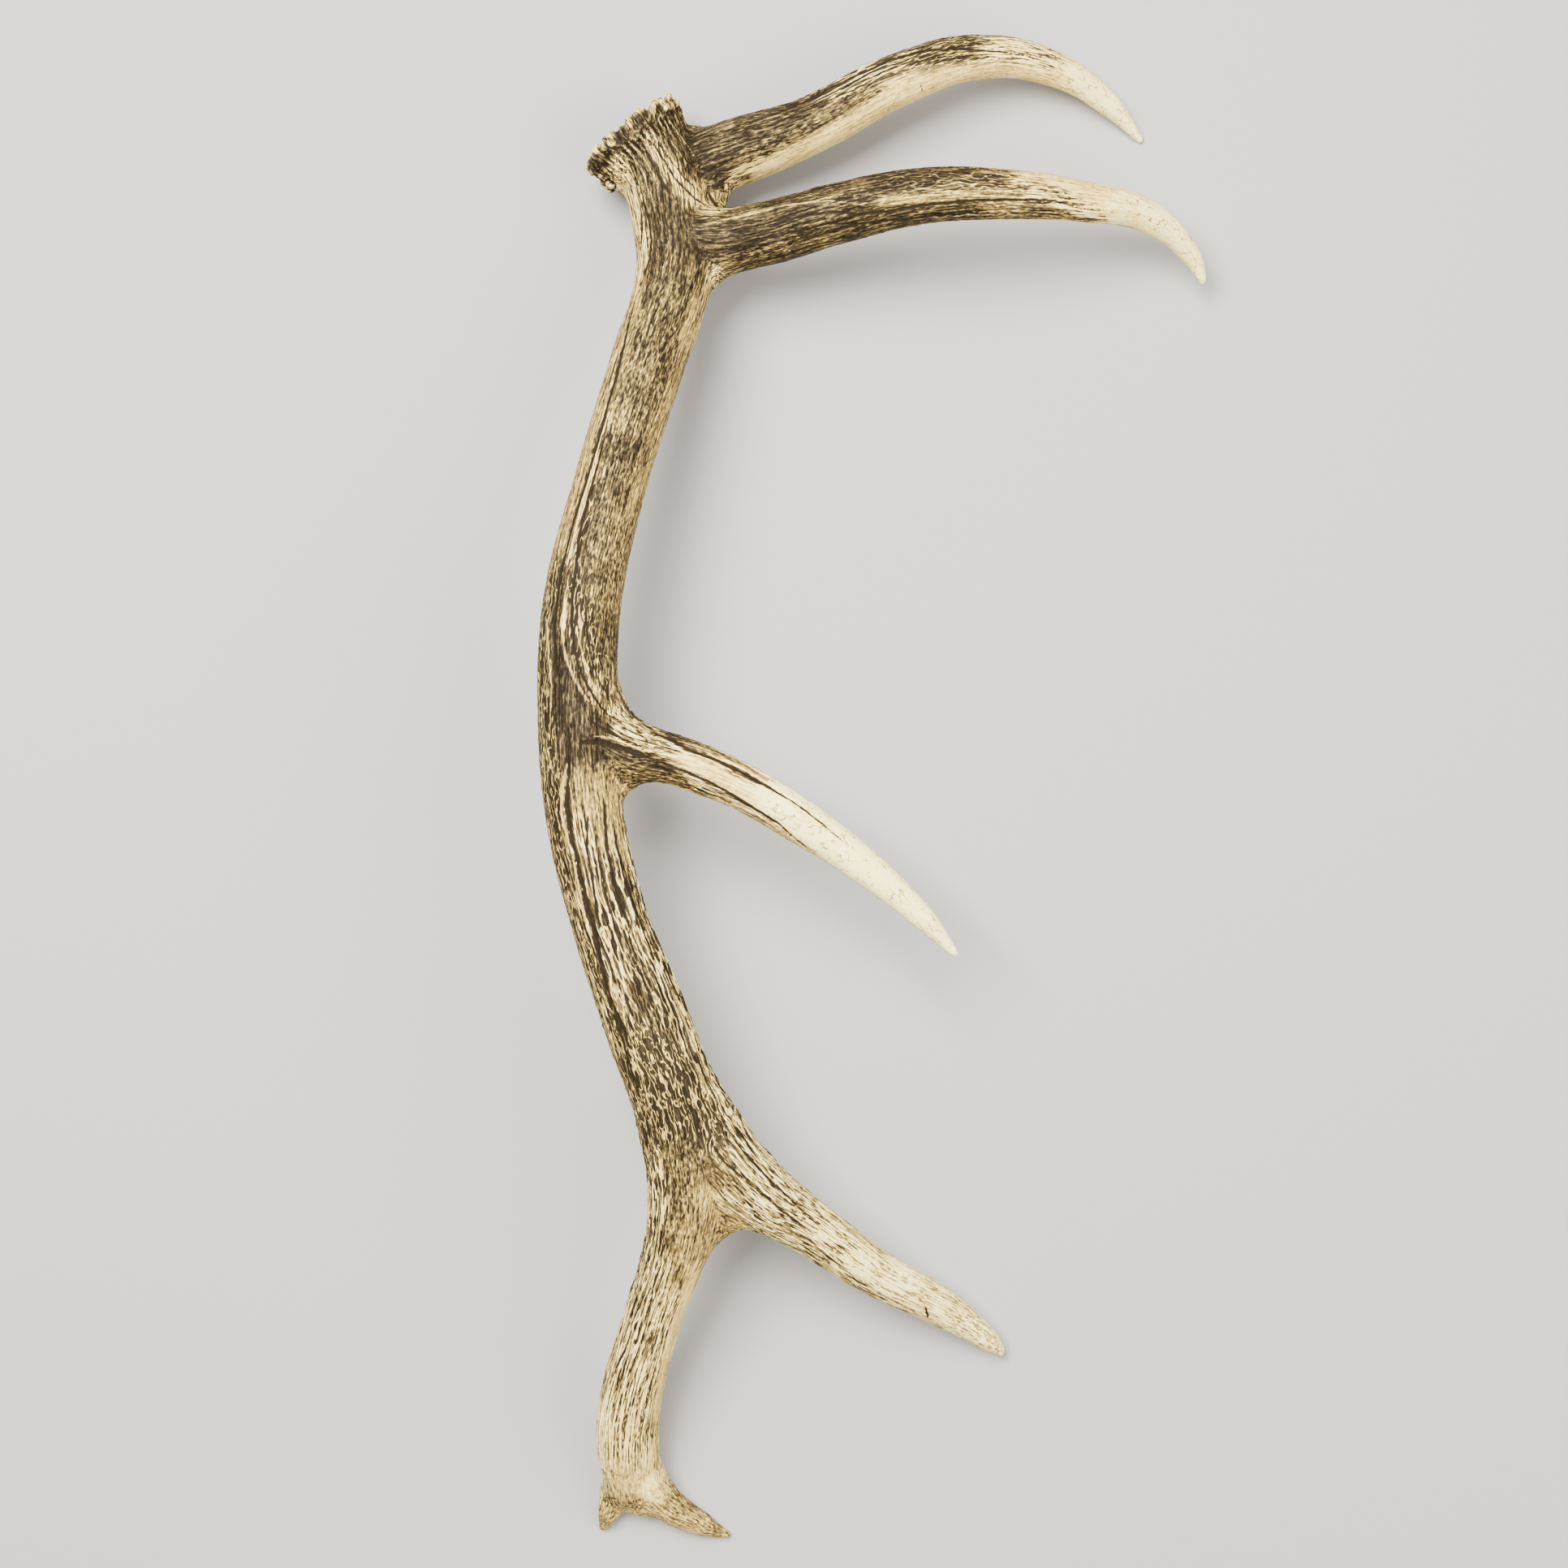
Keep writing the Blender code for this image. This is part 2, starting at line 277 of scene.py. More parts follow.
LIMBS = (
    Limb("beam", (
        (-147, 405, 38, 27.5), (-136, 386, 43, 25.0), (-127, 346, 54, 23.0),
        (-125, 315, 63, 23.5), (-140, 261, 79, 22.6), (-162, 185, 96, 21.8),
        (-178, 111, 108, 23.5), (-180, 47, 111, 24.2), (-176, -12, 111, 23.4),
        (-163, -71, 109, 22.6), (-139, -138, 106, 25.6), (-118, -205, 99, 25.8),
        (-119, -260, 88, 21.0), (-137, -318, 67, 17.6), (-153, -379, 42, 19.4),
        (-155, -410, 29, 19.8), (-154, -434, 20, 15.0))),
    Limb("brow tine", (
        (-134, 372, 39, 17.0), (-111, 388, 36, 21.0), (-87, 397, 38, 21.2),
        (-40, 413, 44, 17.4), (12, 440, 45, 16.2), (61, 456, 39, 13.9), (111, 452, 26, 11.0),
        (148, 432, 12, 7.4), (168, 413, 2.4, 2.8))),
    Limb("bez tine", (
        (-130, 362, 52, 18.0), (-118, 342, 56, 20.5), (-98, 338, 58, 21.0),
        (-75, 341, 61, 19.6), (-26, 352, 73, 18.4), (23, 360, 86, 16.9), (72, 362, 84, 15.4),
        (122, 361, 68, 12.7), (170, 354, 47, 10.0), (197, 333, 31, 6.2), (204, 320, 26, 3.0))),
    Limb("trez tine", (
        (-171, 60, 108, 18.5), (-165, 37, 110, 20.5), (-146, 25, 111, 19.0),
        (-128, 21, 112, 15.6), (-89, 7, 111, 14.2), (-49, -16, 108, 13.6),
        (-8, -45, 102, 10.8), (26, -75, 95, 7.6), (45, -96, 90, 3.0))),
    Limb("royal tine", (
        (-122, -170, 102, 21.0), (-106, -203, 98, 24.5), (-80, -235, 91, 22.8),
        (-41, -264, 76, 16.8), (-2, -294, 55, 14.4), (40, -320, 31, 12.6),
        (72, -345, 14, 7.2), (79, -352, 9, 3.6))),
    Limb("crown front point", (
        (-154, -400, 34, 15.0), (-145, -430, 21, 15.0), (-130, -448, 13, 11.0),
        (-110, -461, 7.8, 7.6), (-94, -469, 3.5, 3.0))),
    Limb("crown rear point", (
        (-157, -400, 32, 15.0), (-161, -434, 16, 12.5), (-168, -454, 9, 7.2),
        (-172, -464, 3.5, 3.2))),
)

WEBS = (
    (-113, 402, 38, 12.0), (-101, 367, 44, 11.0), (-103, 318, 58, 10.5), (-154, 10, 109, 12.0),
    (-94, -253, 87, 15.0), (-107, -266, 85, 13.0), (-147, -446, 14, 10.5),
)


# ---- burr


@dataclass
class Burr:
    """The burr: the beam's flare, a flat disc, a ring of knobs and the convex seal.

    A row of knobs has its distance from the axis, its height and its share of the full count,
    and a knob's radius its least, its greatest and its commonest value. An edge is where a
    zone starts and where it is full.
    """

    centre: Point = (-151, 407, 38)
    axis: Point = (-0.60, 0.80, 0.0)
    radius: float = 34.0
    thickness: float = 9.0
    root_radius: float = 27.5
    flare_length: float = 24.0
    seal_radius: float = 28.0
    seal_height: float = 6.8
    seal_margins: Pair = (3, 1)
    sides: int = 64
    dome_rings: int = 24
    rim_knobs: int = 42
    rows: Sequence[tuple[float, float, float]] = (
        (33.6, 2.4, 0.85), (33.4, -1.8, 1.0), (31.6, -5.8, 0.6))
    thick_end: Sequence[Station] = (
        (-174, 391, 40, 3.6), (-172, 386, 33, 3.8), (-171, 384, 43, 3.8),
        (-168, 379, 37, 3.9), (-166, 377, 29, 3.2), (-165, 376, 45, 3.0))
    knob_radius: tuple[float, float, float] = (1.5, 4.2, 2.2)
    knob_turn: float = 0.35
    knob_shift: Pair = (-0.8, 1.4)
    knob_lift: Pair = (-1.6, 1.4)
    knob_reach: float = 9.0
    knob_reach_share: float = 2.2
    knob_edge: Pair = (0.3, 3.0)
    # painted shade on the rim: the tone between the knobs, and how much paler their tops are
    knob_shade_tones: Pair = (0.20, 0.52)
    curl_share: float = 0.4
    curl_depth: float = 0.45
    curl_width: float = 0.38
    ribs: int = 52
    rib_height: float = 0.9
    rib_lean: float = 0.12
    knob_depth: float = 3.0
    height_reach: float = 20.0
    inner_reach: float = 20.0
    outer_edge: Pair = (46.0, 42.0)
    flute_edges: Sequence[Pair] = ((-23.0, -6.0), (2.5, 0.0))
    rim_edges: Sequence[Pair] = ((-10.0, -5.0), (7.0, 4.5))
    seal_edge: Pair = (0.5, 3.0)
    seed: int = 7

    def frame(self) -> Matrix:
        """The matrix that stands at the burr's middle with its own Z along the axis."""
        turn = Vector(self.axis).to_track_quat("Z", "Y").to_matrix().to_4x4()
        return Matrix.Translation(in_frame(self.centre)) @ turn

    def build(self) -> list[Object]:
        """Model the flare, the disc and the seal.

        Returns:
            The parts, which overlap and are fused later.
        """
        turn = facing(self.axis)
        middle = in_frame(self.centre)
        back = Vector(self.axis).normalized() * (self.flare_length / 2 * MM)
        start_fresh()
        bpy.ops.mesh.primitive_cone_add(
            vertices=self.sides, radius1=self.root_radius * MM, radius2=self.radius * MM,
            depth=self.flare_length * MM, location=middle - back, rotation=turn)
        parts = [bpy.context.object]
        for radius, height in ((self.radius, self.thickness / 2),
                               (self.seal_radius, self.seal_height)):
            start_fresh()
            bpy.ops.mesh.primitive_uv_sphere_add(
                segments=self.sides, ring_count=self.dome_rings, radius=radius * MM,
                location=middle, rotation=turn, scale=(1, 1, height / radius))
            parts.append(bpy.context.object)
        return parts

    def knobs(self) -> list[Station]:
        """Where the rim's knobs are, in the burr's own frame, in mm."""
        chance = random.Random(self.seed)
        found = []
        for ring, depth, share in self.rows:
            count = round(self.rim_knobs * share)
            for number in range(count):
                turn = chance.uniform(-self.knob_turn, self.knob_turn)
                angle = math.tau * (number + turn) / count
                size = chance.triangular(*self.knob_radius)
                reach = ring - 0.5 * size + chance.uniform(*self.knob_shift)
                found.append((reach * math.cos(angle), reach * math.sin(angle),
                              depth + chance.uniform(*self.knob_lift), size))
        for knob in self.thick_end:
            place = self.local(np.array(in_frame(knob)) / MM)
            found.append((*(float(value) for value in place), knob[3]))
        return found

    def local(self, places: Array) -> Array:
        """Places in the burr's own frame, in mm."""
        turn = np.array(self.frame().to_3x3())
        return (places - np.array(self.frame().translation) / MM) @ turn

    def _zone(self, inside: Array, edges: Sequence[Pair]) -> Array:
        """The share of a zone that lies between two heights and within the burr's reach."""
        low, high = edges
        return (smooth_step(*low, inside[:, 2]) * smooth_step(*high, inside[:, 2])
                * smooth_step(*self.outer_edge, spread(inside)))

    def flutes(self, places: Array) -> Array:
        """The flutes that run down from the rim: 1 on their ridges, -1 between, 0 elsewhere."""
        inside = self.local(places)
        angle = np.arctan2(inside[:, 1], inside[:, 0])
        return (self._zone(inside, self.flute_edges)
                * np.cos(self.ribs * angle + self.rib_lean * inside[:, 2]))

    def rise(self, places: Array, normals: Array) -> Array:
        """How far the rim's knobs and ribs stand out of the smooth skin.

        Args:
            places: The skin's corners in mm.
            normals: Its corners' normals.

        Returns:
            The height in mm of each corner.
        """
        chance = random.Random(self.seed)
        rise = np.zeros(len(places))
        inside = self.local(places)
        away = spread(inside)
        near = np.nonzero((np.abs(inside[:, 2] + self.knob_depth) < self.height_reach)
                          & (away > self.inner_reach) & (away < self.outer_edge[0]))[0]
        spots = inside[near]
        ways = normals[near] @ np.array(self.frame().to_3x3())
        rise[near] = self.rib_height * self.flutes(places[near])
        for *middle, radius in self.knobs():
            offset = np.array(middle) - spots
            along = (offset * ways).sum(1)
            inner = radius ** 2 - (offset ** 2).sum(1) + along ** 2
            hit = np.where(inner > 0, along + np.sqrt(np.maximum(inner, 0)), 0.0)
            hit[np.abs(hit) > min(self.knob_reach, self.knob_reach_share * radius)] = 0.0
            if chance.random() < self.curl_share:
                beside = np.sqrt(np.maximum(radius ** 2 - inner, 0)) / radius
                hit -= self.curl_depth * radius * np.exp(-(beside / self.curl_width) ** 2)
            rise[near] = np.maximum(rise[near], hit)
        return rise

    def knob_shade_tone(self, rise: Array) -> Array:
        """The rim's tone: painted shade between the knobs, and pale on their tops."""
        low, more = self.knob_shade_tones
        return low + more * smooth_step(*self.knob_edge, rise)

    def rim_share(self, places: Array) -> Array:
        """Which part of the skin is the rim, from 0 to 1."""
        inside = self.local(places)
        low, high = self.seal_margins
        return self._zone(inside, self.rim_edges) * smooth_step(
            self.seal_radius - low, self.seal_radius + high, spread(inside))

    def seal_share(self, places: Array) -> Array:
        """Which part of the skin is the seal, from 0 to 1."""
        inside = self.local(places)
        low, high = self.seal_margins
        return smooth_step(*self.seal_edge, inside[:, 2]) * smooth_step(
            self.seal_radius + low, self.seal_radius - high, spread(inside))


def spread(inside: Array) -> Array:
    """How far places lie from their own Z."""
    return np.hypot(inside[:, 0], inside[:, 1])


# ---- noise and fibres


class Noise:
    """Smooth random values in space, from one table that repeats far apart."""

    SIZE = 64

    def __init__(self, seed: int) -> None:
        """Fill the table.

        Args:
            seed: Fixes the random values.
        """
        values = np.random.default_rng(seed).standard_normal((self.SIZE,) * 3)
        self.values = values.astype(np.float32).ravel()

    def at(self, places: Array, grain: float) -> Array:
        """Values at places.

        Args:
            places: Places in mm, one a row.
            grain: The distance in mm between the table's values.

        Returns:
            One value a place, about -1 to 1.
        """
        scaled = (places / grain).astype(np.float32)
        low = np.floor(scaled)
        share = scaled - low
        share = share * share * (3 - 2 * share)
        cell = low.astype(np.int32) % self.SIZE
        after = (cell + 1) % self.SIZE
        total = np.zeros(len(places), np.float32)
        for corner in range(8):
            index = np.zeros(len(places), np.int32)
            weight = np.ones(len(places), np.float32)
            for axis in range(3):
                upper = corner >> axis & 1
                index = index * self.SIZE + (after if upper else cell)[:, axis]
                weight *= share[:, axis] if upper else 1 - share[:, axis]
            total += weight * self.values[index]
        return total


class Follow(NamedTuple):
    """Where places lie along one limb."""

    arc: Array
    side: Array
    up: Array
    direction: Array
    reach: Array


class Fibres:
    """Which limb each place belongs to, and which way the antler's fibres run there."""

    ARC_BLUR = 5.0
    ROOT_SHARE = 0.85
    BLEND_SHARPNESS = 5.0
    CHUNK = 40000

    def __init__(self, limbs: Sequence[Limb]) -> None:
        """Keep the limbs' lines, and leave out the stretch of each tine inside the beam.

        Args:
            limbs: The beam first and then what grows from it.
        """
        self.lines = [limb.line for limb in limbs]
        beam = self.lines[0]
        self.starts = [0]
        for line in self.lines[1:]:
            gaps = np.linalg.norm(line.points[:, None] - beam.points[None], axis=2)
            nearest = gaps.argmin(1)
            outside = gaps.min(1) > beam.radii[nearest] * self.ROOT_SHARE
            self.starts.append(int(np.argmax(outside)))

    def along(self, number: int, places: Array) -> Follow:
        """Straighten one limb: how far along it and beside it the places lie.

        Args:
            number: The limb's number.
            places: Places in mm.

        Returns:
            The distances along and beside the limb, its direction and the share of its
            radius at which each place lies.
        """
        line = self.lines[number]
        points, radii, arc, *axes = (row[self.starts[number]:] for row in (
            line.points, line.radii, line.arc, line.tangents, line.sides, line.ups))
        columns = [np.ones(len(points))]
        for start, axis in zip((arc, 0.0, 0.0), axes):
            columns += [start - (points * axis).sum(1), axis]
        columns = np.column_stack(columns).astype(np.float32)
        parts = []
        for start in range(0, len(places), self.CHUNK):
            some = places[start:start + self.CHUNK]
            squares = ((some ** 2).sum(1)[:, None] + (points ** 2).sum(1)[None]
                       - 2 * some @ points.T).clip(0)
            closest = squares.min(1)
            weights = np.exp((closest[:, None] - squares) / (2 * self.ARC_BLUR ** 2))
            sums = weights.astype(np.float32) @ columns
            sums /= sums[:, :1]
            reach = (np.sqrt(squares) / radii[None]).min(1)
            passed = (sums[:, at] + (some * sums[:, at + 1:at + 4]).sum(1) for at in (1, 5, 9))
            parts.append((*passed, sums[:, 2:5], reach))
        return Follow(*(np.concatenate(column) for column in zip(*parts)))

    def direction(self, places: Array) -> Array:
        """The way the fibres run at places: the limbs' own directions, blended at forks."""
        total = np.zeros((len(places), 3))
        for number in range(len(self.lines)):
            follow = self.along(number, places)
            share = np.exp(-self.BLEND_SHARPNESS * (follow.reach - 1))
            total += follow.direction * share[:, None]
        return unit(total)


class FlowGrid:
    """The fibres' direction kept on a grid, so that paths along them can be walked fast."""

    CELL = 5.0
    MARGIN = 12.0
    WANDER = 0.16
    WANDER_GRAIN = 16.0
    AXES_APART = 100.0

    def __init__(self, fibres: Fibres, skin: Array, noise: Noise) -> None:
        """Work out the direction at the grid's points that lie near the skin.

        Args:
            fibres: Which way the fibres run.
            skin: The skin's corners in mm.
            noise: Makes the fibres wander a little.
        """
        self.low = skin.min(0) - self.MARGIN
        counts = np.ceil((skin.max(0) + self.MARGIN - self.low) / self.CELL).astype(int) + 1
        self.counts = counts
        near = np.zeros(counts, bool)
        cells = np.unique(((skin - self.low) / self.CELL).astype(int), axis=0)
        reach = range(-1, 3)
        for offset in np.array(np.meshgrid(reach, reach, reach)).reshape(3, -1).T:
            spots = np.clip(cells + offset, 0, counts - 1)
            near[spots[:, 0], spots[:, 1], spots[:, 2]] = True
        index = np.argwhere(near)
        places = self.low + index * self.CELL
        heading = fibres.direction(places)
        for axis in range(3):
            shifted = places + self.AXES_APART * (axis + 1)
            heading[:, axis] += self.WANDER * noise.at(shifted, self.WANDER_GRAIN)
        self.vectors = np.zeros((*counts, 3), np.float32)
        self.vectors[index[:, 0], index[:, 1], index[:, 2]] = unit(heading)

    def at(self, places: Array) -> Array:
        """The direction at places, blended between the grid's points."""
        scaled = (places - self.low) / self.CELL
        cell = np.clip(scaled.astype(int), 0, self.counts - 2)
        share = np.clip(scaled - cell, 0, 1).astype(np.float32)
        total = np.zeros((len(places), 3), np.float32)
        for corner in range(8):
            upper = np.array([corner >> axis & 1 for axis in range(3)])
            weight = np.prod(np.where(upper, share, 1 - share), axis=1)
            spot = cell + upper
            total += weight[:, None] * self.vectors[spot[:, 0], spot[:, 1], spot[:, 2]]
        return unit(total)


SAMPLES_A_STEP = 2


def grown_pattern(places: Array, flow: FlowGrid, noise: Noise, grain: float,
                  length: float, step: float) -> Array:
    """Average random values along the fibres, so that they become streaks.

    Args:
        places: The skin's corners in mm.
        flow: The fibres' direction.
        noise: The random values.
        grain: The streaks' width in mm.
        length: How far in mm they are averaged to each side.
        step: How far in mm a path goes before it turns.

    Returns:
        The pattern, with mean 0 and spread 1.
    """
    total = noise.at(places, grain)
    for sense in (1.0, -1.0):
        here = places.astype(np.float32)
        walked = 0.0
        while walked < length:
            way = flow.at(here) * (sense * step)
            for _ in range(SAMPLES_A_STEP):
                here = here + way / SAMPLES_A_STEP
                walked += step / SAMPLES_A_STEP
                if walked < length:
                    weight = 0.5 + 0.5 * math.cos(math.pi * walked / length)
                    total += weight * noise.at(here, grain)
    return (total - total.mean()) / total.std()


# ---- the surface's character


class Character(NamedTuple):
    """How a stretch of surface looks; each value goes from 0 to 1."""

    tone: float
    groove: float
    streak: float
    net: float
    dash: float
    mottle: float
    warmth: float
    polish: float


class Look(Enum):
    """The kinds of surface that the antler shows."""

    DARK_FORK = Character(0.21, 0.25, 0.50, 0.25, 0.00, 0.50, 0.20, 0.05)
    DARK_PEARLED = Character(0.23, 0.30, 0.45, 0.30, 0.00, 0.55, 0.35, 0.00)
    BROWN_MOTTLED = Character(0.35, 0.20, 0.40, 0.35, 0.00, 0.90, 0.60, 0.00)
    GOLD_MOTTLED = Character(0.61, 0.20, 0.45, 0.10, 0.25, 0.75, 0.85, 0.05)
    GROOVED = Character(0.46, 1.00, 0.35, 0.20, 0.10, 0.12, 0.45, 0.00)
    CREAM_GROOVED = Character(0.72, 0.75, 0.45, 0.25, 0.80, 0.20, 0.30, 0.00)
    NET = Character(0.22, 0.20, 0.15, 1.00, 0.00, 0.16, 0.25, 0.00)
    CREAM_DASHED = Character(0.81, 0.15, 0.40, 0.10, 1.00, 0.30, 0.20, 0.05)
    CREAM_SMOOTH = Character(0.86, 0.00, 0.15, 0.00, 0.25, 0.25, 0.40, 0.35)
    PALE_SPECKLED = Character(0.94, 0.05, 0.25, 0.00, 0.60, 0.35, 0.15, 0.35)
    CREAM_TIP = Character(0.94, 0.00, 0.08, 0.00, 0.15, 0.12, 0.30, 1.00)
    WHITE_TIP = Character(0.99, 0.00, 0.08, 0.00, 0.15, 0.12, 0.00, 1.00)


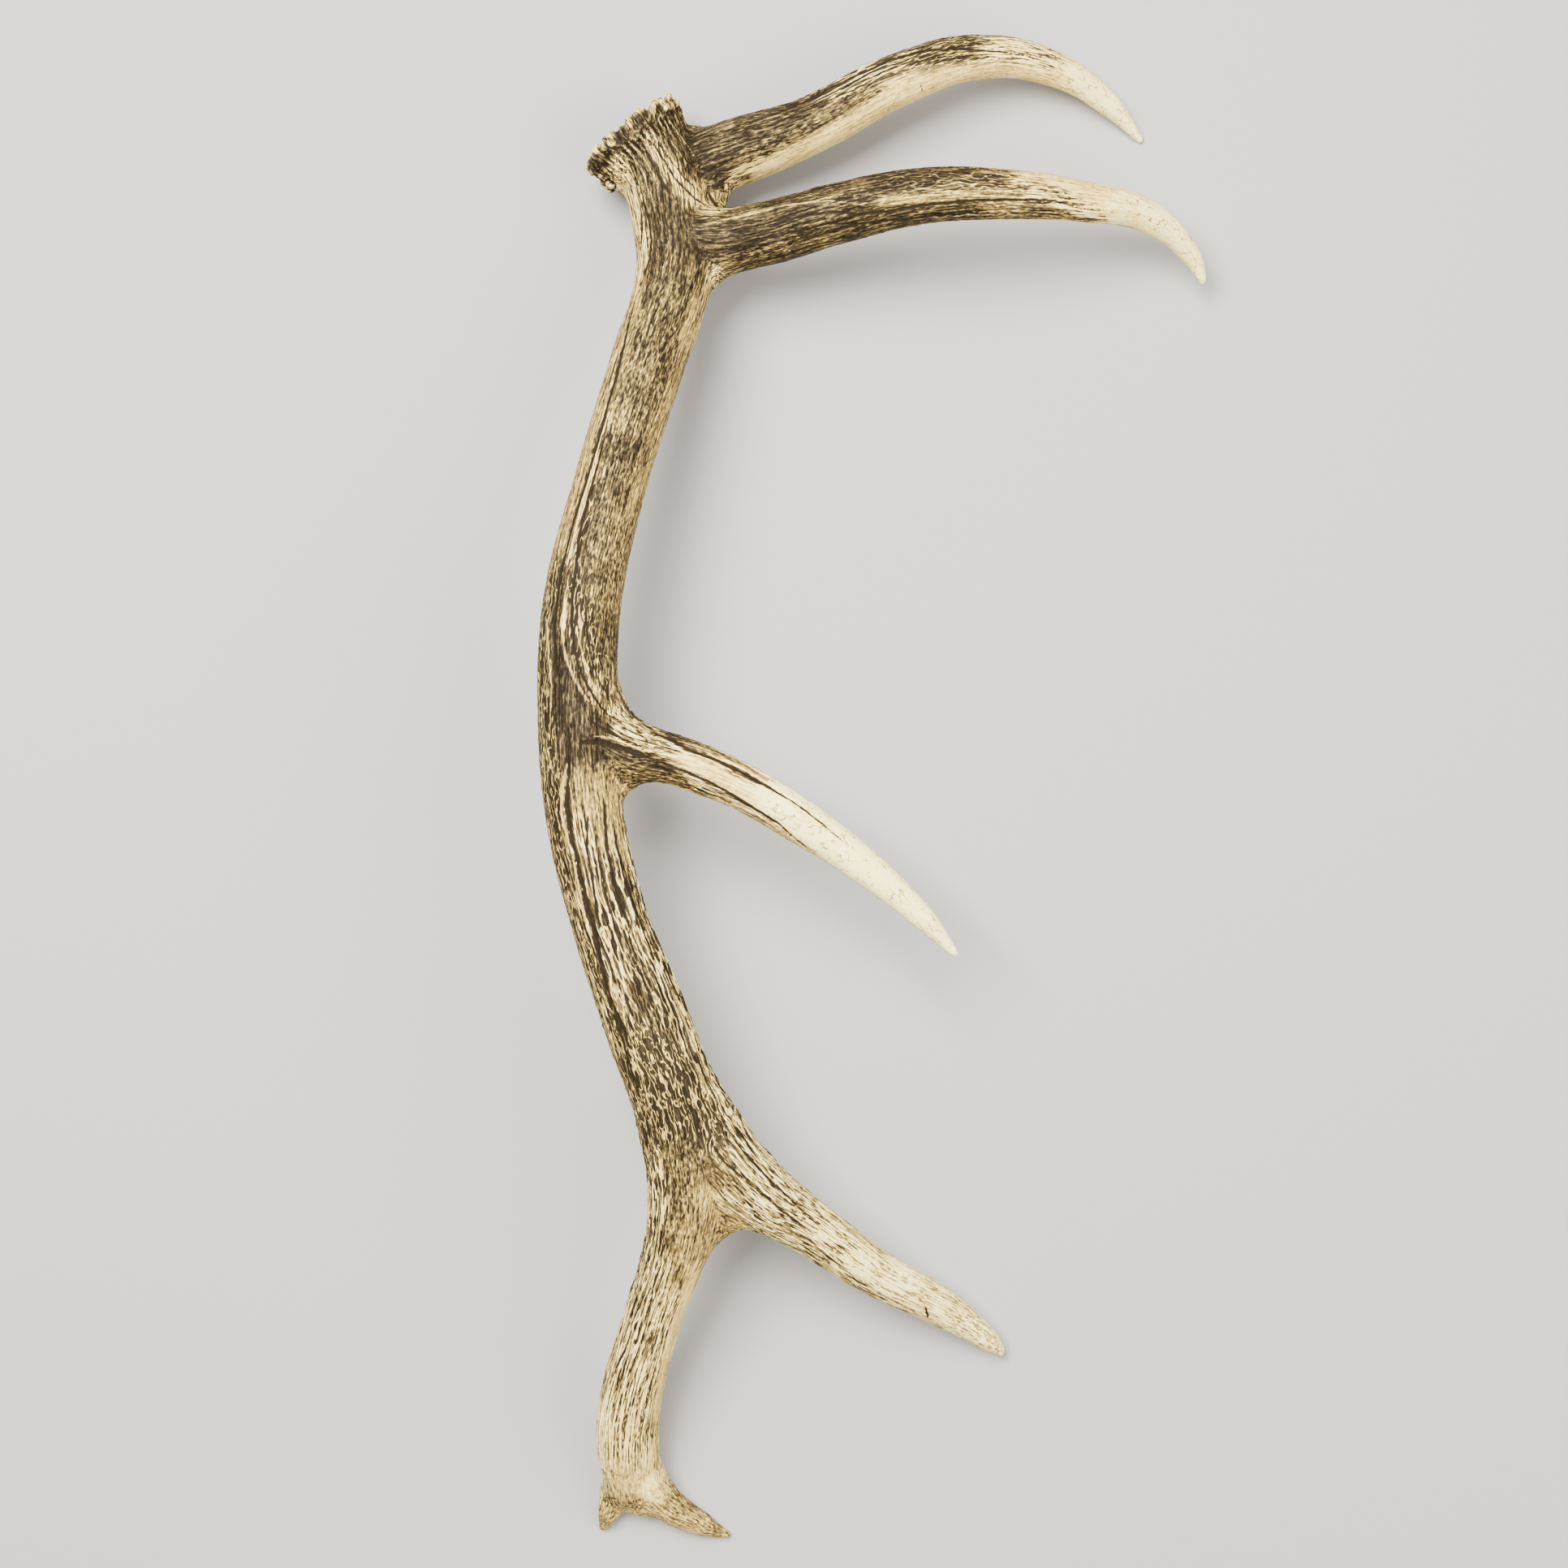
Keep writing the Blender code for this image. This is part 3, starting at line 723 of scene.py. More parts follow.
# Stretches of one look: the look, how far it reaches in pixels, and its course in the
# photograph's pixels, u and v in turn.
BANDS = (
    # base: dark under the rim, partly painted shade below its overhang, two pale bands and a dark
    # one between them
    # painted shade: the band just under the rim is made darker
    (Look.DARK_PEARLED, 15, (740, 182, 765, 172, 790, 155, 815, 142, 845, 136)),
    (Look.DARK_PEARLED, 14, (768, 176, 795, 208, 811, 251, 820, 304, 826, 350)),
    (Look.CREAM_DASHED, 9, (750, 190, 768, 212, 785, 251, 795, 290, 788, 322)),
    (Look.CREAM_DASHED, 6, (788, 322, 780, 350, 772, 376)),
    (Look.GOLD_MOTTLED, 8, (768, 385, 757, 425, 744, 465)),
    (Look.CREAM_DASHED, 7.5, (797, 165, 812, 188, 830, 216, 850, 240, 876, 260)),
    (Look.DARK_PEARLED, 12, (822, 160, 845, 185, 868, 208, 880, 228)),
    (Look.GOLD_MOTTLED, 8, (866, 222, 880, 240, 888, 254)),
    (Look.DARK_FORK, 14, (826, 300, 850, 282, 880, 282, 905, 288)),
    # brow tine: brown above, smooth and pale below
    (Look.DARK_PEARLED, 14, (885, 176, 930, 158, 980, 136, 1005, 122)),
    (Look.BROWN_MOTTLED, 8, (925, 192, 975, 168, 1030, 136, 1075, 108)),
    (Look.GROOVED, 12, (1015, 112, 1060, 92, 1110, 72)),
    (Look.NET, 12, (1110, 72, 1160, 62, 1200, 60)),
    (Look.CREAM_DASHED, 9, (1200, 62, 1240, 62, 1290, 78)),
    (Look.CREAM_DASHED, 10, (896, 246, 908, 232, 930, 214)),
    (Look.CREAM_SMOOTH, 11, (930, 216, 965, 200, 1010, 178, 1060, 148, 1110, 122)),
    (Look.CREAM_SMOOTH, 11, (1110, 114, 1160, 98, 1220, 90, 1280, 94, 1320, 104)),
    (Look.CREAM_TIP, 14, (1320, 100, 1360, 124, 1385, 142, 1410, 170)),
    # bez tine: brown, with pale chains along it, and white at the tip
    (Look.DARK_FORK, 16, (900, 280, 950, 262, 1000, 252)),
    (Look.DARK_PEARLED, 13, (1000, 240, 1060, 226, 1120, 220, 1180, 216)),
    (Look.BROWN_MOTTLED, 6, (905, 322, 930, 312, 960, 306)),
    (Look.DARK_PEARLED, 13, (950, 296, 990, 288, 1060, 280, 1120, 274, 1170, 266)),
    (Look.CREAM_DASHED, 4, (862, 277, 914, 268, 968, 255, 1020, 246)),
    (Look.GOLD_MOTTLED, 5, (1090, 248, 1140, 242, 1190, 238, 1240, 238)),
    (Look.NET, 11, (1100, 222, 1160, 222, 1215, 222, 1240, 220)),
    (Look.BROWN_MOTTLED, 7, (1190, 262, 1240, 260, 1262, 262)),
    (Look.CREAM_DASHED, 8, (1245, 226, 1285, 238, 1320, 250, 1345, 260)),
    (Look.BROWN_MOTTLED, 4, (1285, 262, 1305, 265, 1322, 268)),
    (Look.CREAM_DASHED, 4, (1320, 266, 1350, 276, 1380, 288, 1410, 306)),
    (Look.CREAM_SMOOTH, 10, (1260, 212, 1300, 216, 1335, 224, 1365, 236)),
    (Look.CREAM_SMOOTH, 12, (1345, 238, 1375, 258, 1390, 268)),
    (Look.CREAM_TIP, 24, (1380, 255, 1430, 285, 1470, 325, 1482, 345)),
    # lower beam: mottled in the middle, golden along both edges
    (Look.CREAM_DASHED, 6, (884, 342, 870, 372, 860, 400)),
    (Look.GOLD_MOTTLED, 9, (868, 372, 856, 411, 845, 455, 832, 500)),
    (Look.BROWN_MOTTLED, 14, (826, 350, 815, 400, 804, 450, 790, 500, 775, 550)),
    (Look.DARK_PEARLED, 4, (803, 470, 790, 510)),
    (Look.GOLD_MOTTLED, 8, (826, 500, 812, 540, 795, 590, 785, 620)),
    (Look.BROWN_MOTTLED, 14, (765, 570, 750, 620, 735, 680, 735, 720)),
    (Look.GOLD_MOTTLED, 6, (748, 470, 735, 510, 718, 560, 703, 610, 690, 660)),
    (Look.CREAM_DASHED, 3, (752, 490, 738, 540, 727, 590, 716, 632, 703, 690)),
    (Look.CREAM_DASHED, 3, (703, 690, 698, 730, 696, 780)),
    (Look.NET, 4, (730, 600, 718, 650, 708, 690)),
    (Look.NET, 11, (704, 715, 712, 740, 718, 780, 728, 815, 742, 850)),
    (Look.BROWN_MOTTLED, 10, (748, 720, 748, 770, 752, 810, 765, 850)),
    (Look.NET, 8, (674, 740, 668, 800, 666, 860, 666, 920)),
    (Look.DARK_FORK, 7, (686, 745, 687, 800, 690, 850, 700, 890, 702, 925)),
    # third tine: dark in its fork, long dark streaks down both sides, polished white
    (Look.DARK_FORK, 9, (705, 850, 716, 880, 735, 898)),
    (Look.CREAM_DASHED, 5, (727, 840, 745, 868, 775, 893, 805, 908)),
    (Look.CREAM_GROOVED, 8, (765, 903, 800, 915, 840, 930)),
    (Look.DARK_PEARLED, 6, (785, 880, 815, 894, 845, 909)),
    (Look.DARK_PEARLED, 6, (764, 780, 768, 820, 777, 855)),
    (Look.BROWN_MOTTLED, 3, (845, 909, 870, 920, 895, 932)),
    (Look.GOLD_MOTTLED, 2.5, (895, 931, 925, 948, 950, 962)),
    (Look.CREAM_DASHED, 5, (850, 922, 890, 940, 930, 960)),
    (Look.CREAM_SMOOTH, 8, (840, 932, 875, 950, 905, 968, 940, 985)),
    (Look.DARK_FORK, 9, (715, 918, 750, 922, 790, 940, 812, 949)),
    (Look.BROWN_MOTTLED, 8, (740, 945, 775, 945, 815, 955, 845, 966)),
    (Look.CREAM_GROOVED, 6, (850, 962, 880, 978, 910, 995)),
    (Look.CREAM_DASHED, 5, (905, 995, 935, 1014, 965, 1034, 990, 1052)),
    (Look.WHITE_TIP, 12, (940, 978, 1000, 1022, 1060, 1070, 1150, 1140)),
    # middle beam: gold below the fork, then grooves, then a net
    (Look.NET, 7, (668, 930, 668, 1000, 680, 1060, 700, 1130, 725, 1200)),
    (Look.GOLD_MOTTLED, 12, (735, 962, 745, 1000, 745, 1040)),
    (Look.GOLD_MOTTLED, 6, (764, 985, 764, 1020, 768, 1050)),
    (Look.CREAM_GROOVED, 8, (722, 1020, 728, 1070, 740, 1110)),
    (Look.GROOVED, 17, (742, 1070, 750, 1110, 765, 1160, 782, 1220, 790, 1255)),
    (Look.GROOVED, 7, (770, 1060, 785, 1110, 803, 1160, 822, 1210, 834, 1245)),
    (Look.NET, 10, (768, 1150, 780, 1195, 790, 1240)),
    (Look.NET, 18, (785, 1240, 792, 1290, 808, 1345, 822, 1390)),
    (Look.NET, 6, (728, 1200, 748, 1260, 768, 1320, 785, 1380, 800, 1430)),
    (Look.GROOVED, 6, (838, 1245, 860, 1300, 888, 1355, 918, 1405)),
    (Look.NET, 9, (832, 1300, 855, 1350, 880, 1395, 905, 1425)),
    (Look.BROWN_MOTTLED, 9, (830, 1400, 846, 1420, 852, 1440)),
    # fourth tine: gold in its fork, cream with black dashes, then speckled
    (Look.GROOVED, 6, (805, 1430, 818, 1487, 808, 1541)),
    (Look.BROWN_MOTTLED, 9, (828, 1430, 836, 1480, 824, 1530)),
    (Look.GOLD_MOTTLED, 9, (870, 1478, 866, 1494, 880, 1504, 898, 1508)),
    (Look.BROWN_MOTTLED, 8, (872, 1436, 890, 1452, 908, 1470)),
    (Look.CREAM_GROOVED, 11, (905, 1420, 925, 1445, 950, 1468, 985, 1492)),
    (Look.CREAM_GROOVED, 9, (905, 1475, 935, 1492, 970, 1518)),
    (Look.CREAM_DASHED, 14, (990, 1490, 1030, 1525)),
    # painted shade: the tine's lower edge is made darker and greyer
    (Look.CREAM_GROOVED, 5, (990, 1532, 1040, 1572, 1100, 1614, 1160, 1652)),
    (Look.PALE_SPECKLED, 17, (1070, 1552, 1130, 1595, 1180, 1630, 1235, 1662)),
    # upper beam and crown: cream, with rows of short dark dashes
    (Look.GOLD_MOTTLED, 8, (846, 1510, 840, 1540)),
    (Look.GOLD_MOTTLED, 4, (838, 1545, 828, 1585, 815, 1625)),
    (Look.CREAM_GROOVED, 9, (808, 1541, 798, 1600, 782, 1660, 768, 1700)),
    (Look.CREAM_DASHED, 10, (825, 1600, 805, 1660, 795, 1720, 793, 1785)),
    (Look.CREAM_SMOOTH, 4, (858, 1562, 835, 1625, 815, 1687, 811, 1750, 820, 1800)),
    (Look.CREAM_DASHED, 10, (768, 1700, 765, 1740, 768, 1785)),
    (Look.CREAM_SMOOTH, 10, (768, 1815, 785, 1828, 805, 1836)),
    (Look.PALE_SPECKLED, 7, (742, 1730, 738, 1780, 743, 1820)),
    (Look.GOLD_MOTTLED, 6, (742, 1845, 738, 1885)),
    (Look.GOLD_MOTTLED, 4, (780, 1848, 800, 1858)),
    (Look.GOLD_MOTTLED, 10, (820, 1838, 845, 1862, 862, 1875)),
    (Look.BROWN_MOTTLED, 9, (852, 1846, 875, 1864, 895, 1882)),
)

# Single long lines: the width in mm, the strength, which is below 0 for a dark groove and
# above 0 for a pale ridge, and the course in the photograph's pixels, u and v in turn.
LINES = (
    # lower beam: the double groove on the left and the sweep into the third tine
    (1.4, -0.9, (786, 354, 775, 397, 765, 440, 757, 470, 751, 490, 740, 530, 729, 570,
     710, 630, 700, 667, 692, 700, 686, 736, 682, 767, 684, 814, 690, 850, 697, 900)),
    (1.2, -1.0, (751, 506, 746, 530, 738, 567, 731, 590, 720, 630, 713, 664, 709, 704,
     705, 735, 704, 765, 708, 801, 716, 828, 726, 848, 739, 869, 751, 882, 773, 891, 800, 902)),
    (0.7, -0.8, (763, 430, 758, 446, 753, 462, 749, 476)),
    (0.9, 0.7, (743, 532, 734, 567, 727, 590, 715, 631, 707, 665, 701, 700)),
    (1.7, -0.9, (796, 900, 823, 909, 848, 923, 880, 935, 909, 949, 930, 960, 951, 972, 976, 988)),
    (1.2, 0.8, (712, 736, 716, 770, 714, 792, 720, 817, 731, 845, 744, 864)),
    (1.3, 0.8, (697, 739, 692, 764, 694, 789, 698, 814, 709, 839, 722, 861, 741, 876)),
    (1.2, 0.8, (680, 745, 675, 770, 677, 814, 680, 845, 678, 890)),
    (1.0, -0.8, (722, 740, 724, 780, 729, 812, 740, 842, 756, 866)),
    (2.6, -1.0, (708, 918, 722, 914, 737, 914, 759, 920, 784, 928, 806, 936)),
    (1.2, -1.0, (802, 935, 830, 946, 859, 957, 880, 967, 901, 979, 930, 997, 959, 1015,
     984, 1037)),
    (0.9, -0.8, (955, 973, 985, 993, 1015, 1016, 1050, 1046)),
    (0.9, -0.8, (970, 1026, 1005, 1054, 1040, 1082, 1070, 1106)),
    (1.4, -0.9, (722, 884, 748, 901, 769, 912, 790, 919)),
    (1.3, 0.8, (728, 907, 751, 909, 776, 918, 805, 929)),
    (1.0, -0.8, (845, 966, 875, 980, 905, 998, 935, 1018)),
    # the bright ridge past the third tine, with a broad groove along its right side
    (1.5, 1.0, (701, 930, 694, 966, 692, 1001, 699, 1030, 706, 1051, 712, 1080, 719, 1116,
     726, 1150)),
    (2.6, -1.0, (702, 940, 699, 966, 698, 991, 703, 1025, 712, 1072, 722, 1110, 733, 1150,
     741, 1190, 750, 1230)),
    (1.3, -0.9, (725, 991, 723, 1044, 730, 1085, 735, 1120, 744, 1160)),
    (1.5, -1.0, (744, 976, 746, 1010, 748, 1044, 757, 1085, 769, 1120, 780, 1160)),
    (1.2, -0.8, (733, 1010, 736, 1050, 744, 1090, 755, 1130)),
    (1.2, -0.9, (755, 1000, 760, 1040, 769, 1080, 784, 1120, 796, 1155, 810, 1195)),
    (1.0, -0.8, (768, 1040, 778, 1085, 794, 1130, 812, 1175)),
    # the net's left edge: pale chains that run on to the fourth tine's fork
    (1.0, 0.8, (708, 1130, 730, 1202, 748, 1263, 764, 1314, 784, 1375, 800, 1426, 812, 1470)),
    (1.0, 0.7, (742, 1150, 756, 1195, 768, 1240, 780, 1290, 796, 1345, 810, 1395)),
    (1.2, -0.8, (736, 1160, 748, 1215, 762, 1265, 778, 1320, 794, 1370)),
    (1.0, 0.7, (800, 1160, 824, 1216, 844, 1263, 866, 1314, 895, 1370, 936, 1426)),
    (1.0, -0.8, (812, 1180, 832, 1226, 856, 1280, 880, 1330, 905, 1376, 935, 1415)),
    (1.1, -0.8, (890, 1380, 915, 1418, 945, 1450, 975, 1478, 1008, 1510)),
    (1.0, -0.8, (868, 1400, 895, 1434, 925, 1460, 955, 1484, 990, 1512, 1014, 1530)),
    # base: flutes under the rim, fine lines in the pale bands, and the dark zone's edges
    (0.9, 0.8, (762, 186, 772, 198, 784, 222, 790, 240)),
    (0.9, 0.8, (770, 182, 782, 196, 794, 216, 800, 236)),
    (0.9, 0.9, (779, 176, 792, 192, 804, 212, 812, 232)),
    (0.9, 0.8, (789, 170, 802, 188, 815, 208, 824, 224)),
    (0.8, 0.7, (812, 158, 824, 172, 838, 190, 848, 206)),
    (0.8, 0.7, (824, 150, 836, 166, 850, 184, 860, 200)),
    (0.9, -0.9, (777, 204, 791, 240, 798, 269, 802, 295, 800, 319, 793, 340, 784, 366)),
    (0.8, -0.8, (786, 240, 791, 276, 789, 304, 782, 345, 770, 395, 757, 440)),
    (0.9, -0.9, (798, 163, 811, 186, 832, 220, 857, 245, 880, 258)),
    (0.8, -0.8, (807, 167, 821, 190, 843, 218, 866, 240)),
    (1.4, -0.8, (792, 180, 806, 206, 820, 230, 838, 252)),
    (1.3, -1.0, (872, 236, 880, 249, 889, 262)),
    # brow tine: the dark line over the pale side, and streaks above it
    (1.0, -0.4, (900, 208, 929, 194, 971, 176, 1007, 158, 1039, 136, 1093, 111, 1140, 92)),
    (1.2, -0.8, (892, 160, 950, 142, 1004, 120, 1060, 90, 1100, 72, 1142, 61, 1190, 60,
     1240, 65, 1288, 74)),
    (1.0, -0.7, (914, 166, 968, 146, 1020, 124, 1075, 100)),
    # bez tine: long lines from its fork
    (1.2, -0.9, (900, 290, 950, 273, 1004, 264, 1032, 261, 1057, 265, 1093, 261, 1146, 252,
     1204, 247, 1267, 246, 1300, 248, 1333, 257, 1371, 262)),
    (1.1, 0.7, (862, 277, 914, 267, 968, 253, 1020, 247, 1060, 252, 1100, 248)),
    (1.1, -0.8, (1000, 276, 1060, 276, 1120, 270, 1180, 262, 1240, 258)),
    # upper beam: the darkest row of dashes
    (1.0, -0.5, (813, 1531, 806, 1580, 796, 1630, 785, 1672, 774, 1700)),
    (0.8, -0.4, (824, 1500, 818, 1550, 812, 1600, 800, 1650, 788, 1700, 782, 1740)),
    # cracks
    (0.6, -0.7, (743, 1845, 752, 1846, 761, 1848)),
    (0.9, -1.0, (1140, 1610, 1142, 1617, 1144, 1625)),
    (0.6, -0.6, (1134, 102, 1136, 110, 1137, 117)),
)


# ---- relief


@dataclass
class Relief:
    """The grooves, ridges and pearls that stand on the skin, and the colours in them.

    Grains, lengths, steps and depths are in mm, and ranges and strays in pixels.
    """

    groove_grain: float = 1.4
    groove_length: float = 46.0
    groove_step: float = 2.2
    groove_depth: float = 0.6
    groove_sharpness: float = 1.6
    polish_flattening: float = 0.85
    pearl_grain: float = 2.0
    pearl_depth: float = 0.14
    line_depth: float = 0.75
    line_range: float = 16.0
    line_upward: Pair = (0.25, 0.6)
    line_widths: Pair = (0.15, 0.6)
    line_tapers: Sequence[Pair] = ((0.0, 0.2), (1.0, 0.75))
    line_fades: Sequence[Pair] = ((0.0, 0.05), (1.0, 0.95))
    band_range: float = 8.0
    band_falloff: float = -3.0
    stray_on_top: float = 5.0
    stray_below: float = 32.0
    stray_limit: float = 1.8
    top_edge: Pair = (0.75, 0.2)
    elsewhere: Look = Look.CREAM_DASHED
    elsewhere_share: float = 1e-5
    cloud_grain: float = 16.0
    cloud_tone: Pair = (0.03, 0.06)
    cavity_reach: float = 0.6
    # painted shade: how far the tone is darkened in the skin's hollows
    hollow_painted_shade: float = 0.55
    flute_tone: float = 0.16
    fork_edge: float = 0.32
    tines_apart: float = 1000.0
    seed: int = 11

    def photo_places(self, places: Array) -> tuple[Array, Array]:
        """Where the photograph shows places of the skin.

        Args:
            places: Places in mm.

        Returns:
            The places in the photograph's pixels, and the millimetres that one pixel spans.
        """
        span = MM_PER_PIXEL * (EYE[2] - places[:, 2]) / (EYE[2] - REFERENCE_HEIGHT)
        u = PHOTO_CENTRE[0] + (places[:, 0] - EYE[0]) / span
        v = PHOTO_CENTRE[1] - (places[:, 1] - EYE[1]) / span
        return np.column_stack([u, v]), span

    def characters(self, spots: Array) -> Array:
        """Blend the bands over the surface.

        Args:
            spots: The places of the skin in the photograph's pixels.

        Returns:
            One column for each value of a character.
        """
        total = np.zeros((len(spots), len(Character._fields)), np.float32)
        weights = np.full(len(spots), self.elsewhere_share, np.float32)
        total += self.elsewhere_share * np.array(self.elsewhere.value, np.float32)
        for look, reach, places in BANDS:
            course = np.array(places, float).reshape(-1, 2)
            near = self._near(spots, course, reach * self.band_range)
            distance = self._beside(spots[near], course)[0] / reach
            weight = (1 + distance ** 2) ** self.band_falloff
            total[near] += weight[:, None] * np.array(look.value, np.float32)
            weights[near] += weight
        return total / weights[:, None]

    @staticmethod
    def _near(spots: Array, course: Array, reach: float) -> Array:
        """The numbers of the spots within reach of a course's bounds."""
        low, high = course.min(0) - reach, course.max(0) + reach
        return np.nonzero(((spots > low) & (spots < high)).all(1))[0]

    def drawn_lines(self, spots: Array, span: Array, upward: Array) -> Array:
        """The single grooves and ridges on the upper side.

        Args:
            spots: The places of the skin in the photograph's pixels.
            span: The millimetres that one pixel spans.
            upward: How far the skin faces up, from -1 to 1.

        Returns:
            Their share of the surface: up to 1 on a ridge and down to -1 in a groove.
        """
        drawn = np.zeros(len(spots), np.float32)
        thin, more = self.line_widths
        for full_width, strength, places in LINES:
            course = np.array(places, float).reshape(-1, 2)
            near = self._near(spots, course, self.line_range)
            near = near[upward[near] > self.line_upward[0]]
            distance, share = self._beside(spots[near], course)
            width = full_width * (thin + more * self._within(share, self.line_tapers))
            profile = np.exp(-(distance * span[near] / width) ** 2)
            profile *= self._within(share, self.line_fades)
            profile *= smooth_step(*self.line_upward, upward[near])
            profile *= abs(strength)
            stronger = profile > np.abs(drawn[near])
            drawn[near[stronger]] = math.copysign(1, strength) * profile[stronger]
        return drawn

    @staticmethod
    def _within(share: Array, edges: Sequence[Pair]) -> Array:
        """1 in the middle of a course, and less towards its ends."""
        start, end = edges
        return smooth_step(*start, share) * smooth_step(*end, share)

    @staticmethod
    def _beside(spots: Array, course: Array) -> tuple[Array, Array]:
        """How far spots lie from a course, and how far along it their nearest point is."""
        lengths = np.linalg.norm(np.diff(course, axis=0), axis=1)
        passed = np.concatenate(([0.0], np.cumsum(lengths)))
        best = np.full(len(spots), np.inf)
        share = np.zeros(len(spots))
        for number, length in enumerate(lengths):
            start, way = course[number], (course[number + 1] - course[number]) / length
            along = np.clip((spots - start) @ way, 0, length)
            gap = np.linalg.norm(spots - start - along[:, None] * way, axis=1)
            nearer = gap < best
            best[nearer] = gap[nearer]
            share[nearer] = (passed[number] + along[nearer]) / passed[-1]
        return best, share

    def raise_on(self, skin: Object, burr: Burr, fibres: Fibres) -> None:
        """Raise the relief on the skin and keep what its finish needs as attributes.

        Args:
            skin: The smooth skin, which is changed.
            burr: The burr, for its rim and seal.
            fibres: Which way the fibres run.
        """
        mesh = skin.data
        places = read_vectors(mesh.vertices, "co") / MM
        normals = read_vectors(mesh.vertex_normals, "vector")
        noise = Noise(self.seed)
        flow = FlowGrid(fibres, places, noise)
        log.info("the fibres' flow is worked out")
        grown = grown_pattern(
            places, flow, noise, self.groove_grain, self.groove_length, self.groove_step)
        log.info("the grooves along the fibres are drawn out")
        spots, span = self.photo_places(places)
        away = smooth_step(*self.top_edge, normals[:, 2])
        stray = self.stray_on_top + (self.stray_below - self.stray_on_top) * away
        stray *= np.clip(grown, -self.stray_limit, self.stray_limit)
        strayed = spots + flow.at(places)[:, :2] * (1, -1) * stray[:, None]
        character = dict(zip(Character._fields, self.characters(strayed).T))
        drawn = self.drawn_lines(spots, span, normals[:, 2])
        groove = grown * (1 - np.abs(drawn))
        rise = burr.rise(places, normals)
        knobbed = places + normals * rise[:, None]
        height = self.groove_depth * character["groove"] * np.tanh(self.groove_sharpness * groove)
        height += self.pearl_depth * noise.at(places, self.pearl_grain)
        height *= 1 - self.polish_flattening * character["polish"]
        height += self.line_depth * drawn
        even, mottled = self.cloud_tone
        cloud = noise.at(places, self.cloud_grain)
        tone = character["tone"] + (even + mottled * character["mottle"]) * cloud
        # Painted shade: the tone is darkened where the skin is hollow, in its grooves and
        # creases.
        cavity = hollows(mesh, knobbed, normals) / self.cavity_reach
        tone -= self.hollow_painted_shade * np.clip(cavity, -0.5, 1.0)
        tone += self.flute_tone * burr.flutes(places)
        # On the rim the tone becomes the knobs' painted shade: dark between them, pale on their
        # tops.
        tone += burr.rim_share(places) * (burr.knob_shade_tone(rise) - tone)
        moved = knobbed + normals * height[:, None]
        mesh.vertices.foreach_set("co", (moved * MM).astype(np.float32).ravel())
        mesh.update()
        values = dict(character, tone=tone, grown=groove, drawn=drawn,
                      seal=burr.seal_share(places))
        for name, row in values.items():
            keep(mesh, name, row)
        self._keep_fibre_places(mesh, fibres, places)

    def _keep_fibre_places(self, mesh: Mesh, fibres: Fibres, places: Array) -> None:
        """Keep each corner's place along the beam and along its nearest tine."""
        beam = fibres.along(0, places)
        nearest = np.full(len(places), np.inf)
        tine = np.zeros((len(places), 3))
        for number in range(1, len(fibres.lines)):
            follow = fibres.along(number, places)
            nearer = follow.reach < nearest
            nearest[nearer] = follow.reach[nearer]
            arc = follow.arc + self.tines_apart * number
            tine[nearer] = np.column_stack([follow.side, follow.up, arc])[nearer]
        keep(mesh, "beam_grain", np.column_stack([beam.side, beam.up, beam.arc]))
        keep(mesh, "tine_grain", tine)
        keep(mesh, "on_tine",
             smooth_step(-self.fork_edge, self.fork_edge, beam.reach - nearest))


def read_vectors(source: bpy_prop_collection, name: str) -> Array:
    """Read a vector of each item, one a row."""
    values = np.zeros(len(source) * 3, np.float32)
    source.foreach_get(name, values)
    return values.reshape(-1, 3)


def keep(mesh: Mesh, name: str, values: Array) -> None:
    """Keep one number or one vector a corner on a mesh, for its finish."""
    kind, key = ("FLOAT", "value") if values.ndim == 1 else ("FLOAT_VECTOR", "vector")
    attribute = mesh.attributes.new(name, kind, "POINT")
    attribute.data.foreach_set(key, np.ascontiguousarray(values, np.float32).ravel())


def hollows(mesh: Mesh, places: Array, normals: Array, rounds: int = 3) -> Array:
    """How hollow the skin is at each corner.

    Args:
        mesh: The skin, for its edges.
        places: Its corners in mm.
        normals: Its corners' normals.
        rounds: How often the corners are averaged with their neighbours.

    Returns:
        The height in mm by which the neighbours stand above each corner; below 0 on bumps.
    """
    ends = np.zeros(len(mesh.edges) * 2, np.int32)
    mesh.edges.foreach_get("vertices", ends)
    first, second = ends.reshape(-1, 2).T
    number = np.bincount(ends, minlength=len(places))
    smooth = places.copy()
    for _ in range(rounds):
        total = np.zeros_like(smooth)
        for axis in range(3):
            total[:, axis] = np.bincount(first, smooth[second, axis], len(places))
            total[:, axis] += np.bincount(second, smooth[first, axis], len(places))
        smooth = total / number[:, None]
    return ((smooth - places) * normals).sum(1)


# ---- the skin


class Piece(NamedTuple):
    """A stretch of the antler: its node, a point in its middle and its material slot."""

    node: str
    middle: Point
    slot: str


class Parting(NamedTuple):
    """A plane that parts two stretches: a point, the direction along the limb and its reach."""

    point: Point
    along: Point
    radius: float


PIECES = (
    Piece("beam_base", (-127, 345, 56), "brown_antler"),
    Piece("brow_tine", (12, 440, 45), "cream_antler"),
    Piece("bez_tine", (23, 360, 86), "cream_antler"),
    Piece("lower_beam", (-162, 185, 96), "brown_antler"),
    Piece("trez_tine", (-49, -16, 108), "white_antler"),
    Piece("middle_beam", (-140, -120, 106), "brown_antler"),
    Piece("royal_tine", (-2, -294, 55), "white_antler"),
    Piece("crown", (-146, -379, 42), "cream_antler"),
)

